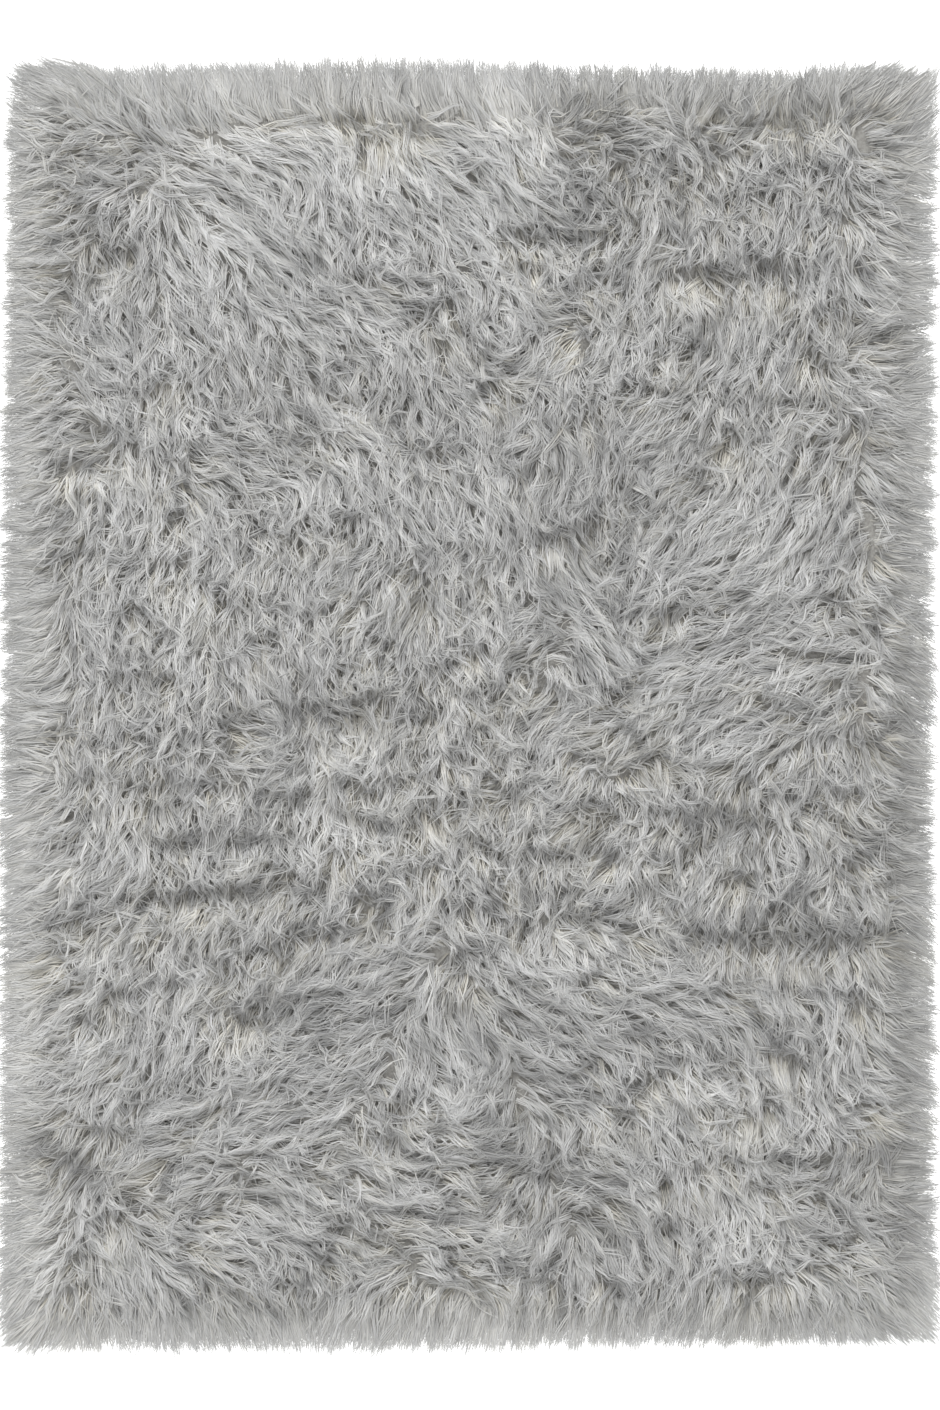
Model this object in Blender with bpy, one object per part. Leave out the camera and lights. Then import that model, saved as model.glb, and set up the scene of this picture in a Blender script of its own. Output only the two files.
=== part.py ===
"""Shag rug lying flat on a floor, as one solid in metres, +Z up.

The cloth is 1.2 x 1.7 m, and its pile is about 75 mm long. The pile lies over into a lumpy slab,
with banks and partings where it is combed to and fro, and reaches past the cloth's edge all round,
where it ends in loose locks that rest on the floor. The origin is under the middle of the rug.
"""

import math
from collections import namedtuple

import bmesh
import bpy
from mathutils import Vector, noise

MM = 0.001

# Driving dimensions
CLOTH_WIDTH = 1.200
CLOTH_LENGTH = 1.700
PILE_REACH = 0.060  # how far the pile lies out past the cloth's edge
PILE_HEIGHT = 0.036  # of the pile as it lies, away from the rim

# Rim of the slab, where the locks grow from
LOCK_ROOT_DEPTH = 0.020  # how far inside the pile's reach the roots are
LOCK_LENGTH = 0.022
LOCK_LENGTH_SPREAD = 0.007
LOCK_ROOT_SHARE = 0.68  # of each rim edge; the rest is the gap to the next lock
LOCK_LEAN = 0.005  # the most that a tip stands to one side
LOCK_WAIST_WIDTH = 0.62  # of the root's width, part of the way out
LOCK_WAIST_HEIGHT = 0.60
LOCK_WAIST_PLACE = 0.55
RIM_HEIGHT = 0.012
RIM_HEIGHT_SPREAD = 0.003
SHOULDER = 0.080  # how far in from the rim the pile reaches its full height
CORNER_RADIUS = 0.050
SIDE_FADE = 3  # a point's share in the outline's unevenness falls off with this power of its place

# The lumps
TUFT_RISE = 0.0085
TUFT_SIZE = 0.075
CURL_RISE = 0.0055
CURL_SIZE = 0.032
LEAST_HEIGHT = 0.016
MOST_HEIGHT = 0.050
STRAY = 0.0045  # how far a point of the surface strays from its place in the grid
TRACT_FADE = 3  # a tract is nothing at this many half widths from its line

# Faces across and along the slab. Each rim edge holds one lock, so there are 2 * (ACROSS + ALONG) of them.
ACROSS = 48
ALONG = 66

FUR_COLOUR = (0.36, 0.36, 0.355, 1.0)
FUR_ROUGHNESS = 0.9

# How far the outline stands outside (or inside, if negative) its straight line, in millimetres, at even
# steps along each side: left and right from the near end to the far end, near and far from left to right.
OUTLINE = {
    "left": (5, 6, 4, 4, 2, 1, -2, -7, -11),
    "right": (5, 4, 2, -2, -3, 1, 2, 3, 4),
    "near": (3, 5, 6, 6, 2, 0, -3, -5, -8),
    "far": (-4, 0, 2, 8, 7, -2, -6, -8, -4),
}

# Partings and banks in the pile. Each runs from (x0, y0) to (x1, y1), in millimetres from the middle of
# the rug, fades over half_width, and lifts the surface by rise.
Tract = namedtuple("Tract", "name x0 y0 x1 y1 half_width rise")
TRACTS = (
    Tract("burl", 135, 845, 225, 775, 45, -9),
    Tract("far_right_parting", 390, 850, 610, 845, 18, -7),
    Tract("second_right_parting", 330, 790, 600, 785, 18, -7),
    Tract("third_right_parting", 290, 700, 610, 705, 20, -8),
    Tract("fourth_right_parting", 275, 615, 610, 620, 20, -10),
    Tract("right_rim_hollow", 515, 520, 610, 515, 30, -7),
    Tract("fifth_right_nick", 315, 510, 360, 510, 18, -7),
    Tract("sixth_right_parting", 370, 430, 500, 425, 18, -8),
    Tract("seventh_right_parting", 315, 370, 415, 360, 18, -7),
    Tract("smooth_patch_upper_left_edge", 215, 310, 300, 265, 20, -9),
    Tract("smooth_patch_upper_right_edge", 445, 320, 515, 295, 18, -8),
    Tract("middle_right_parting", 100, 245, 215, 220, 20, -8),
    Tract("slanting_parting", -225, 535, -80, 320, 18, -7),
    Tract("slanting_parting_head", -255, 632, -222, 620, 24, -10),
    Tract("far_left_hollow", -535, 663, -480, 620, 30, -10),
    Tract("left_hollow", -580, 390, -510, 345, 24, -9),
    Tract("left_nick", -595, 277, -525, 273, 18, -7),
    Tract("second_left_nick", -565, 215, -525, 210, 18, -7),
    Tract("third_left_nick", -455, 95, -420, 95, 18, -9),
    Tract("left_middle_parting", -610, 25, -420, 25, 18, -9),
    Tract("middle_parting", -380, -20, -60, -8, 20, -10),
    Tract("left_lower_parting", -595, -104, -365, -115, 18, -9),
    Tract("left_lower_parting_tail", -340, -132, -222, -132, 18, -9),
    Tract("near_left_nick", -450, -200, -267, -182, 18, -8),
    Tract("long_parting_rim_end", -635, -295, -437, -285, 18, -10),
    Tract("long_parting", -437, -281, -110, -267, 18, -10),
    Tract("lower_parting", -325, -342, -97, -305, 18, -10),
    Tract("short_parting", -460, -390, -330, -380, 18, -8),
    Tract("centre_parting", -55, -362, 60, -338, 18, -8),
    Tract("broad_parting", -352, -437, -175, -430, 24, -11),
    Tract("left_rim_nick", -610, -395, -537, -402, 18, -7),
    Tract("centre_nick", -110, -146, -40, -168, 18, -8),
    Tract("centre_lower_parting", 3, -189, 74, -220, 18, -8),
    Tract("centre_lower_parting_tail", 74, -217, 216, -214, 18, -8),
    Tract("centre_upper_nick", -18, -40, 60, -75, 18, -8),
    Tract("right_lower_parting_head", 160, -281, 315, -317, 18, -8),
    Tract("right_lower_parting", 315, -324, 613, -324, 22, -12),
    Tract("right_hollow", 330, -160, 422, -182, 26, -9),
    Tract("right_rim_lower_hollow", 528, -168, 600, -203, 26, -8),
    Tract("lower_nick", 150, -500, 200, -515, 20, -8),
    Tract("lower_right_hollow", 386, -460, 464, -508, 24, -10),
    Tract("lower_right_parting", 350, -402, 557, -416, 18, -8),
    Tract("near_left_hollow", -608, -630, -515, -672, 28, -9),
    Tract("near_centre_hollow", 17, -630, 110, -672, 28, -8),
    Tract("near_slanting_parting", -97, -630, 17, -728, 20, -7),
    Tract("near_right_parting", 430, -643, 613, -650, 20, -7),
    Tract("near_rim_hollow", 130, -835, 258, -842, 24, -6),
    Tract("far_left_bank", -450, 705, -267, 592, 50, 6),
    Tract("far_bank", -54, 876, 88, 734, 45, 6),
    Tract("smooth_patch", 258, 237, 471, 209, 55, 7),
    Tract("lower_smooth_patch", 300, 10, 470, -33, 45, 6),
    Tract("middle_bank", -239, -97, -118, -111, 30, 7),
    Tract("lower_bank", -494, -217, -125, -231, 26, 6),
    Tract("second_lower_bank", -494, -331, -338, -331, 22, 5),
    Tract("third_lower_bank", 124, -352, 187, -352, 28, 5),
    Tract("left_rim_bank", -620, -501, -523, -501, 50, 6),
    Tract("near_bank", -523, -771, 45, -743, 60, 4),
    Tract("near_right_bank", 330, -743, 415, -771, 40, 5),
    Tract("left_lengthwise_bank", -380, 535, -360, 152, 28, 5),
    Tract("second_lengthwise_bank", 3, 578, 31, 294, 25, 5),
    Tract("third_lengthwise_bank", -97, 237, -118, 38, 22, 5),
    Tract("far_right_bank", 244, 848, 258, 720, 28, 5),
    Tract("right_bank", 330, 661, 585, 661, 20, 5),
    Tract("second_right_bank", 330, 564, 500, 564, 22, 4),
    Tract("lower_right_bank", 330, -572, 430, -572, 22, 5),
)


def clear_scene():
    for old in list(bpy.data.objects):
        bpy.data.objects.remove(old)


def eased(share):
    """0 to 1, starting and ending level."""
    share = min(max(share, 0.0), 1.0)
    return share * share * (3 - 2 * share)


def ragged(number, purpose):
    """A number from -1 to 1 that is the same at each run."""
    return 2 * noise.cell(Vector((number, purpose, 0))) - 1


def along_side(side, share):
    """How far the outline stands out at this share of a side's length."""
    stations = OUTLINE[side]
    place = min(max(share, 0.0), 1.0) * (len(stations) - 1)
    first = min(int(place), len(stations) - 2)
    return MM * (stations[first] + (stations[first + 1] - stations[first]) * eased(place - first))


def half_sizes():
    """Half the width and length of the slab, out to the roots of its rim locks."""
    reach = PILE_REACH - LOCK_ROOT_DEPTH
    return CLOTH_WIDTH / 2 + reach, CLOTH_LENGTH / 2 + reach


def rounded(x, y):
    """A point of the plain rectangle, moved in where the corners are rounded."""
    half_width, half_length = half_sizes()
    over_x = abs(x) - (half_width - CORNER_RADIUS)
    over_y = abs(y) - (half_length - CORNER_RADIUS)
    if over_x > 0 and over_y > 0:
        pull = max(over_x, over_y) / math.hypot(over_x, over_y)
        x = math.copysign(half_width - CORNER_RADIUS + over_x * pull, x)
        y = math.copysign(half_length - CORNER_RADIUS + over_y * pull, y)
    return x, y


def on_outline(x, y):
    """The same point on the real, uneven outline. Points further in move less."""
    half_width, half_length = half_sizes()
    across, along = (x / half_width + 1) / 2, (y / half_length + 1) / 2
    side = "right" if x > 0 else "left"
    end = "far" if y > 0 else "near"
    out_x = along_side(side, along) * (abs(x) / half_width) ** SIDE_FADE
    out_y = along_side(end, across) * (abs(y) / half_length) ** SIDE_FADE
    return x + math.copysign(out_x, x), y + math.copysign(out_y, y)


def distance_to_tract(x, y, tract):
    """From a point to the nearest point of the tract's line."""
    start, end = Vector((tract.x0, tract.y0)) * MM, Vector((tract.x1, tract.y1)) * MM
    line, point = end - start, Vector((x, y))
    share = min(max((point - start).dot(line) / line.length_squared, 0.0), 1.0)
    return (point - start - line * share).length


def surface_height(x, y, depth_in):
    """The top of the pile at a point that lies depth_in inside the slab's rim."""
    lift = PILE_HEIGHT - RIM_HEIGHT
    for tract in TRACTS:
        away = distance_to_tract(x, y, tract) / (tract.half_width * MM)
        if away < TRACT_FADE:
            lift += tract.rise * MM * math.exp(-away * away)
    lift += TUFT_RISE * noise.noise(Vector((x, y, 0)) / TUFT_SIZE)
    lift += CURL_RISE * noise.noise(Vector((x, y, 1)) / CURL_SIZE)
    lift = min(max(lift, LEAST_HEIGHT - RIM_HEIGHT), MOST_HEIGHT - RIM_HEIGHT)
    return RIM_HEIGHT + lift * math.sqrt(eased(depth_in / SHOULDER))


def shape_top(bm):
    """Lays a grid of faces as the top of the pile, and returns its rim edges."""
    bmesh.ops.create_grid(bm, x_segments=ACROSS, y_segments=ALONG, size=1)
    half_width, half_length = half_sizes()
    for number, vert in enumerate(bm.verts):
        x, y = vert.co.x * half_width, vert.co.y * half_length
        depth_in = min(half_width - abs(x), half_length - abs(y))
        stray = STRAY * eased(depth_in / SHOULDER)
        x, y = on_outline(*rounded(x, y))
        x += stray * ragged(number, 1)
        y += stray * ragged(number, 2)
        z = surface_height(x, y, depth_in)
        if vert.is_boundary:
            z += RIM_HEIGHT_SPREAD * ragged(number, 3)
        vert.co = (x, y, z)
    return [edge for edge in bm.edges if edge.is_boundary]


def part_the_roots(edges):
    """Cuts each rim edge in two, a lock's root and the gap beside it, and returns the roots."""
    roots = []
    for edge in edges:
        start = edge.link_loops[0].vert
        edge_piece, _ = bmesh.utils.edge_split(edge, start, LOCK_ROOT_SHARE)
        roots.append(edge if start in edge.verts else edge_piece)
    return roots


def drop_walls(bm):
    """Runs the rim down to the floor and closes the slab with one flat face."""
    rim = [edge for edge in bm.edges if edge.is_boundary]
    made = bmesh.ops.extrude_edge_only(bm, edges=rim)["geom"]
    for item in made:
        if isinstance(item, bmesh.types.BMVert):
            item.co.z = 0
    floor_edges = [edge for edge in made if isinstance(edge, bmesh.types.BMEdge) and edge.is_boundary]
    bmesh.ops.contextual_create(bm, geom=floor_edges)


def outward(face):
    """The level direction that a wall face looks in."""
    return Vector((face.normal.x, face.normal.y, 0)).normalized()


def draw_out_lock(bm, face, number):
    """Extrudes one wall face into a tapering lock that lies on the floor, with its tip sideways a little."""
    out, middle = outward(face), face.calc_center_median()
    side = Vector((-out.y, out.x, 0))
    length = LOCK_LENGTH + LOCK_LENGTH_SPREAD * ragged(number, 4)
    lean = side * LOCK_LEAN * ragged(number, 5)
    (waist,) = bmesh.ops.extrude_discrete_faces(bm, faces=[face])["faces"]
    for vert in waist.verts:
        across = (vert.co - middle).dot(side)
        place = middle + side * across * LOCK_WAIST_WIDTH
        place += out * length * LOCK_WAIST_PLACE + lean * LOCK_WAIST_PLACE
        vert.co = (place.x, place.y, vert.co.z * LOCK_WAIST_HEIGHT)
    (end,) = bmesh.ops.extrude_discrete_faces(bm, faces=[waist])["faces"]
    tip = middle + out * length + lean
    bmesh.ops.pointmerge(bm, verts=list(end.verts), merge_co=(tip.x, tip.y, 0))


def grow_locks(bm, roots):
    """Draws a lock out of the wall under each root edge."""
    bm.normal_update()
    walls = []
    for edge in roots:
        walls.append(min(edge.link_faces, key=lambda face: abs(face.normal.z)))
    for number, face in enumerate(walls):
        draw_out_lock(bm, face, number)


def centre_over_origin(bm):
    """Moves the rug so that the middle of its extent is over the origin."""
    for axis in range(2):
        places = [vert.co[axis] for vert in bm.verts]
        middle = (min(places) + max(places)) / 2
        for vert in bm.verts:
            vert.co[axis] -= middle


def fur_material():
    material = bpy.data.materials.new("grey_fur")
    material.use_nodes = True
    shader = material.node_tree.nodes["Principled BSDF"]
    shader.inputs["Base Color"].default_value = FUR_COLOUR
    shader.inputs["Roughness"].default_value = FUR_ROUGHNESS
    shader.inputs["Metallic"].default_value = 0.0
    return material


def make_rug(collection):
    bm = bmesh.new()
    rim = shape_top(bm)
    roots = part_the_roots(rim)
    drop_walls(bm)
    grow_locks(bm, roots)
    centre_over_origin(bm)
    bmesh.ops.triangulate(bm, faces=bm.faces)
    bmesh.ops.recalc_face_normals(bm, faces=bm.faces)
    mesh = bpy.data.meshes.new("shag_pile")
    bm.to_mesh(mesh)
    bm.free()
    mesh.materials.append(fur_material())
    rug = bpy.data.objects.new("shag_pile", mesh)
    collection.objects.link(rug)


def main():
    clear_scene()
    collection = bpy.data.collections.new("shag_rug")
    bpy.context.scene.collection.children.link(collection)
    make_rug(collection)


main()
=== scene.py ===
"""A light grey shag rug with long pile, lying flat on a white floor and seen from straight above.

The ground cloth carries a dense underpile and, over it, locks of long strands. The lie of the locks
is worked out from a table of comb strokes, and they end where the pile parts. Lengths are in metres.
"""

import math
from collections import namedtuple

import bpy
import numpy as np
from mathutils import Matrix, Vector
from mathutils.kdtree import KDTree


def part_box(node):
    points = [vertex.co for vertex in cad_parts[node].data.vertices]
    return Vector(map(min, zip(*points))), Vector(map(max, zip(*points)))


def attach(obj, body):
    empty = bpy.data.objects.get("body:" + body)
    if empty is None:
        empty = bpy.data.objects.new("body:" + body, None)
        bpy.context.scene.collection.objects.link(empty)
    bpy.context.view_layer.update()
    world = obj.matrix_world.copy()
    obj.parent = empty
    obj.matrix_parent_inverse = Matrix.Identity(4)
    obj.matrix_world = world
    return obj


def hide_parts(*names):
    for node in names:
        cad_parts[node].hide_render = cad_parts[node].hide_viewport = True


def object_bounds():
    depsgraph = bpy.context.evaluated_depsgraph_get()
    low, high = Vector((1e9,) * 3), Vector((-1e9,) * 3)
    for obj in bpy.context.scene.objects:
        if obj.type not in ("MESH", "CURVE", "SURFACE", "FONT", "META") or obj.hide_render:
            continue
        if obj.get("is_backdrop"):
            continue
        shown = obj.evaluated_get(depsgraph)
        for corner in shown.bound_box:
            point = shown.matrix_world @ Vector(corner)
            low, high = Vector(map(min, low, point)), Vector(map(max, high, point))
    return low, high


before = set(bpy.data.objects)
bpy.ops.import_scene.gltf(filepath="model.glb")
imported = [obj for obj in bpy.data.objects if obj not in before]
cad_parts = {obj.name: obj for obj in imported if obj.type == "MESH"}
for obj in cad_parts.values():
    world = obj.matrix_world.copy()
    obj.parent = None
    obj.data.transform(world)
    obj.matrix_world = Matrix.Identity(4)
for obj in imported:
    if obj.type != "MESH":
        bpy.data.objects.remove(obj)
cad_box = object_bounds()

MM = 0.001

# The cloth, and the pile as it lies on it
CLOTH_WIDTH = 1.200
CLOTH_LENGTH = 1.700
CLOTH_THICKNESS = 0.003
CLOTH_CORNER = 0.030
RIB_PITCH = 0.0022  # of its knit
COURSE_PITCH = 0.0030
PILE_TOP = 0.0565  # no strand stands higher
ROOT_INSET = (0.002, 0.034)
EDGE_SLOPE = (0.015, 0.075)  # the strip along the edge in which a lock turns outwards: each has its own
RIM_TURN = 0.5  # how strongly the pile past the edge turns straight outwards, against its combed lie
RIM_LEAST = 0.0  # the least that its axis there points outwards, from -1, along the edge, to 1, straight out
RIM_LEAST_DEPTH = 0.060
RIM_TURN_DEPTH = 0.015
RIM_TURN_WIDTH = 0.060
MIXED_SLOPE = (0.015, 0.130)  # how far in a lock still chooses to lie outwards
OUTWARD_BIAS = 1.2  # how strongly it chooses so, against the way that the pile is combed there
SENSE_BIAS = 1.2  # how surely a lock takes the way that these two give, and not the opposite one
GRID_STRAY = 0.48  # how far a strand strays from its even place, against the pitch

# The chart: values on an even grid over the rug, from which every strand reads its place
CHART_PITCH = 0.004
CHART_WIDTH = 1.440
CHART_LENGTH = 1.944
RIPPLE_WAVES = 9
RIPPLE_LENGTHS = (1.3, 3.0)  # of a wave, against the lumps' size
COMB_FALL = 1.6  # how fast a comb stroke's weight falls with the distance
COMB_LEAST = 1e-4  # the weight it keeps far away
LIE_SWINGS = ((0.085, 11, (0.06, 0.18)), (0.034, 12, (0.05, 0.32)))  # lumps' size, seed, radians by unrest
# how strongly the folds' painted light and shade show in the strands' colour
FOLD_PAINTED_SHADING = 1.0
# and how strongly the patches' painted light and shade show
PATCH_PAINTED_SHADING = 0.75

# How tangled the pile is, from 0 to 1, before the table of patches
UNREST = 0.42
UNREST_RIPPLES = ((0.17, 0.024, 33), (0.12, 0.055, 34))  # share, lumps' size, seed
UNREST_BROW = 0.55
UNREST_LEE = 0.35
UNREST_RIM = 0.4  # how much calmer it is at the rim

# How much each layer of the chart lightens or darkens the pile's colour: the relief's ridges and hollows, the
# partings and the tips over them get painted light and shade
# painted light on the relief's ridges and painted shade in its hollows
RELIEF_PAINTED_SHADING = 0.47
RELIEF_PAINTED_SHADING_RIM = 0.6  # how much less of that there is at the rim
# painted shade along each parting
PARTING_PAINTED_SHADE = 1.45
# painted shade on the tips that hang over a parting
BROW_PAINTED_SHADE = 0.35
LEE_LIGHT = 0.50
RIM_LIGHT = 0.35
RIM_BAND = (-0.03, 0.05)  # the rim counts in full this far past the cloth's edge, and no more this far inside

# Fine relief of the pile's top: ridges and hollows that run along the lie
RELIEF = 0.0050
RELIEF_STEPS = 9  # of one chart pitch, to each side
RELIEF_LIMITS = (-2, 1.5)
RELIEF_RIDGES = (0.9, -0.5)  # by unrest
RELIEF_LUMPS = 1.1
RELIEF_LUMP_SIZE = 0.011
RELIEF_DEPTH = 0.025  # pile that is less high than this has less relief
BROW_RISE = 0.0022  # the tips that hang over a parting
LEE_DROP = 0.0095  # the low pile beyond it
FOLD_RISE = 0.0035  # light folds stand this much higher, and dark ones lower

# Underpile: the dense mass that fills the rug below its locks
UNDERPILE_PITCH = 0.0125
UNDERPILE_SHARE = 0.36  # of the pile's height
UNDERPILE_INSET = 0.012
UNDERPILE_EDGE = 0.004  # its height over the cloth along its edge
UNDERPILE_LUMPS = (0.0015, 0.012)  # their height and size
UNDERPILE_GAP = 0.0002  # between it and the cloth

# Short pile: broad strands that close the gaps between the locks
SHORT_PITCH = 0.0150
SHORT_LENGTH = 0.040
SHORT_WIDTH = 0.0040
SHORT_RINGS = (0.0, 0.4, 0.75, 1.0)
SHORT_LENGTHS = (0.75, 1.25)  # shortest and longest, against their length
SHORT_WIDTHS = (0.7, 1.2)
SHORT_TOPS = (0.40, 0.74)  # shares of the pile's height
SHORT_START = 0.35  # their roots' height, as a share of their tips'
SHORT_TURN = 0.22  # radians off the lie
SHORT_ROLL = 0.35  # radians
SHORT_LOOK = (0.3, 2.2)  # how much its tone varies by chance, and how warm its tint is

# Low pile: the fine strands that show below a parting
LOW_PITCH = 0.0047
LOW_LENGTH = 0.036
LOW_WIDTH = 0.0017
LOW_RINGS = (0.0, 0.4, 0.75, 1.0)
LOW_LENGTHS = (0.75, 1.25)
LOW_WIDTHS = (0.7, 1.3)
LOW_TOPS = (0.72, 0.98)
LOW_START = 0.30
LOW_TURN = 0.10
LOW_ROLL = 0.30
LOW_LOOK = (0.35, 2.4)
LOW_LIMIT = 0.25  # how far the lee of a parting must count for it to show
LOW_TIP = 0.55  # how much of a lock's colours, from its root, these short strands have

# Breaks: short partings all over the pile, each across the lie
BREAK_PITCH = 0.046
BREAK_SHARE = 0.27  # how many of the even places have one, before the table of patches
BREAK_SKEW = 0.3  # radians off straight across the lie
BREAK_HALF_LENGTH = (0.008, 0.030)
BREAK_DEPTH = (0.60, 1.15)
BREAK_LEE = (12, 30)  # millimetres

# Every parting's form
PARTING_REACH = 0.060  # how far round a parting the pile takes notice of it
PARTING_WANDER = 0.006  # how far its line strays
PARTING_WANDER_SIZE = 0.040
PARTING_FACE = 0.03  # how near the pile is that decides which side lies over it
PARTING_END = 0.010  # how softly it ends
PARTING_SPREAD = 0.0050
BROW_PLACE = -0.010
BROW_SPREAD = 0.010
LEE_PLACE = (0.004, 0.55)  # how far beyond it the low pile is widest open: metres, and a share of its width
LEE_SPREAD = 0.45  # of that width
PARTING_GAPS = (0.90, 0.25)  # how deep it is along its line, and how unevenly
PARTING_GAP_SIZE = 0.030

# Locks: strands that draw together towards a point, in loose tufts
TUFT_PITCH = 0.030
LOCK_PITCH = 0.0108
LOCK_STRANDS = 6
LOCK_LENGTH = 0.068
LOCK_LENGTH_SPREAD = 0.15
LOCK_RADIUS = 0.0055
LOCK_DOME = 0.0022
LOCK_SPAN = (0.78, 1.0)  # how far its shortest and its longest strands get along it
LOCK_TONE_SPREAD = 0.07
LOCK_ROOT = 0.40  # where in its colours, from 0 to 1, a lock starts whose root is covered
STRAND_WIDTH = 0.0017
STRAIGHT_RINGS = (0.20, 0.48, 0.77, 1.0)  # shares of a strand's length
CURLED_RINGS = (0.20, 0.44, 0.66, 0.85, 1.0)
OPEN_RINGS = (0.05, 0.38, 0.72, 1.0)
OPEN_LIMIT = 0.30  # locks that are rooted in more of a parting's lee than this show from their roots
CURL_LIMIT = 0.52  # locks that are more tangled than this take the finer rings
STRAIGHT_PIECES = 3
CURLED_PIECES = 3
OPEN_PIECES = 1
MARCH_STEPS = 12
BACK_STEPS = 3
BACK_SHARE = 0.50  # roots lie up to this share of a strand's length behind their even places
STIFFNESS = 0.72  # how much of its heading a strand keeps from step to step
STRAND_MOTTLE = 0.16  # how much a strand's tone changes from ring to ring
STRAND_NORMAL_SPREAD = 0.40  # how far a strand's normals fan out across it, so that it looks round
STRAND_RISE = 1.35  # how quickly a strand comes up to its height
NERVE_SHARE = 0.85  # how many locks stop at a parting that is deeper than their nerve
NERVE = (0.35, 0.85)
NO_STOP = 2.0  # the nerve of a strand that passes every parting
CLEAR_OF_PARTING = 0.35  # a strand that is rooted in a parting comes out of it below this depth
LEAST_RUN = 0.3  # how much of its length every strand gets

# How locks bend and bunch, as pairs: how much in smooth pile, and how much more where it is all tangled
LOCK_TURN = (0.10, 0.55)  # radians off the lie, of its own
TUFT_TURN = (0.04, 0.34)  # and of its tuft's
LOCK_DRAW = (0.45, 0.50)
TUFT_DRAW = (0.24, 0.50)
LOCK_SWING = (0.0012, 0.0055)
LOCK_HOOK = (0.003, 0.009)
LOCK_LIFT = (0.0008, 0.0034)
TUFT_LIFT = (0.0008, 0.0022)
TIP_CHANCE = (0.0006, 0.0016)
FRIZZ_GAIN = (0.7, 1.1)
DOME_GAIN = (0.4, 0.6)

# The rest of their form
LOCK_WAVE = (0.030, 0.060)  # a wave's length, least and most
LOCK_HOOK_START = 0.45
LOCK_UNEVEN = 0.22  # how far a strand strays from its even place in the lock
LOCK_DEPTH = 0.8  # how far its roots spread along the lie, against its radius
FRIZZ = 0.0014
FRIZZ_WAVE = 0.027
LIFT_LIMITS = (-0.007, 0.004)
TIP_RISE = 0.0020
TIP_LEVEL = 0.75  # locks that are more tangled than this have tips that stand up
STOPPED_CURL = 0.8  # how much more tangled a lock is that stops at a parting
LOCK_FLOOR = (0.0006, 0.0030)  # the least height of its strands, each its own
LOCK_START = 0.30  # its roots' height, against the pile's
SETTLE_HEIGHT = 0.020  # over lower pile than this its strands lie flatter
SETTLED_SHARE = 0.35  # and keep this share of their own rise where there is none
LOCK_ROLL = (-0.30, 0.14, 0.15)  # radians: across the lock, by chance, and along each strand
LOCK_LOOK = (0.30, 1.2)

# Rim fringe: locks that are rooted along the cloth's edge and lie outwards
FRINGE_INSET = (0.002, 0.030)  # how far inside the cloth's edge they are rooted
FRINGE_TURN = 0.050  # how near to a corner they start to fan out round it
FRINGE_PITCH = 0.0012  # along the outline
FRINGE_RINGS = (0.0, 0.40, 0.76, 1.0)
FRINGE_PUSH = (0.20, 1.10)  # how strongly they are driven outwards, against the lie's own 1
FRINGE_LENGTH = 0.150  # at most
FRINGE_SPREAD = 0.0080  # how unevenly they end
FRINGE_LEVEL = 0.72  # their height against the other locks', which cover their roots
FRINGE_SWAY = 0.7
FRINGE_BUNCHING = 0.30
FRINGE_SPAN = (0.82, 1.0)
FRINGE_FULLNESS = 1.1  # their strands stay this much wider towards their tips
CORNER_POWER = 6  # how square the outline's corners are
PILE_REACH = 0.0755  # how far the pile lies past the cloth's edge

# Stray hairs: thin single strands over the locks
STRAY_PITCH = 0.0150
STRAY_LENGTH = 0.070
STRAY_WIDTH = 0.0012
STRAY_RINGS = (0.25, 0.45, 0.65, 0.85, 1.0)
STRAY_LENGTHS = (0.7, 1.2)
STRAY_WIDTHS = (0.7, 1.3)
STRAY_TURN = (0.25, 0.6)  # by unrest
STRAY_BOW = (0.003, 0.010)
STRAY_BOW_WAVES = (0.8, 1.8)  # half waves over its length
STRAY_OVER = (0.0005, 0.0040)  # its tip's height over the pile
STRAY_FLOOR = (0.001, 0.004)
STRAY_START = 0.4
STRAY_ROLL = 0.3
STRAY_LOOK = (0.3, 1.2)
STRAY_TONE = 0.12  # how much lighter it is

# How far the fringe reaches past or short of its straight line, in millimetres, at even steps from the near
# end to the far one, or from left to right
FRINGE_REACH = {
    "left": (3, 4, 2, 2, 0, -1, -4, -9, -13),
    "right": (5, 4, 2, -2, -3, 1, 2, 3, 4),
    "near": (3, 5, 6, 6, 2, 0, -3, -5, -8),
    "far": (-7, -3, -1, 5, 4, -5, -9, -11, -7),
}

# The strands' map: tints side by side, each with its tones from dark to light, and roots to tips upwards
TINTS = 4
TINT_MARGIN = 0.08
MAP_WIDTH = 0.012  # how wide a strand is in its tint
TONE_RANGE = 1.4  # the chart's light, with its painted light and shade, from below to above 0, that the tones cover
CHANCE = 0.72  # how much of its tone a strand has by chance, in calm pile
CHANCE_UNREST = 0.55  # how much more in tangled pile
CHANCE_RIM = 0.35  # and how much less at the rim
LEE_WARMTH = 1.6  # how much warmer strands are that show from their roots, in tints
TINT_SPREAD = 0.5

# Colours by their place: along a strand, from its dark to its light tones, and from cool to warm tints. The
# darker colour at a strand's very root is painted shade deep in the pile.
# its first stop, darker than the next, is painted shade at the root
STRAND_COLOURS_AND_ROOT_SHADE = (
    (0.0, (0.50, 0.482, 0.437)),
    (0.2, (0.595, 0.58, 0.535)),
    (0.55, (0.56, 0.56, 0.55)),
    (1.0, (0.54, 0.545, 0.55)),
)
# how light a strand is by its tone, which carries the chart's painted light and shade as well as its own
# chance
STRAND_SHADES = ((0.0, (0.51, 0.51, 0.51)), (0.5, (0.945, 0.945, 0.945)), (1.0, (1.23, 1.23, 1.23)))
STRAND_HUES = ((0.0, (0.985, 0.985, 0.995)), (0.5, (1.0, 0.995, 0.98)), (1.0, (1.01, 0.995, 0.95)))
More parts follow.
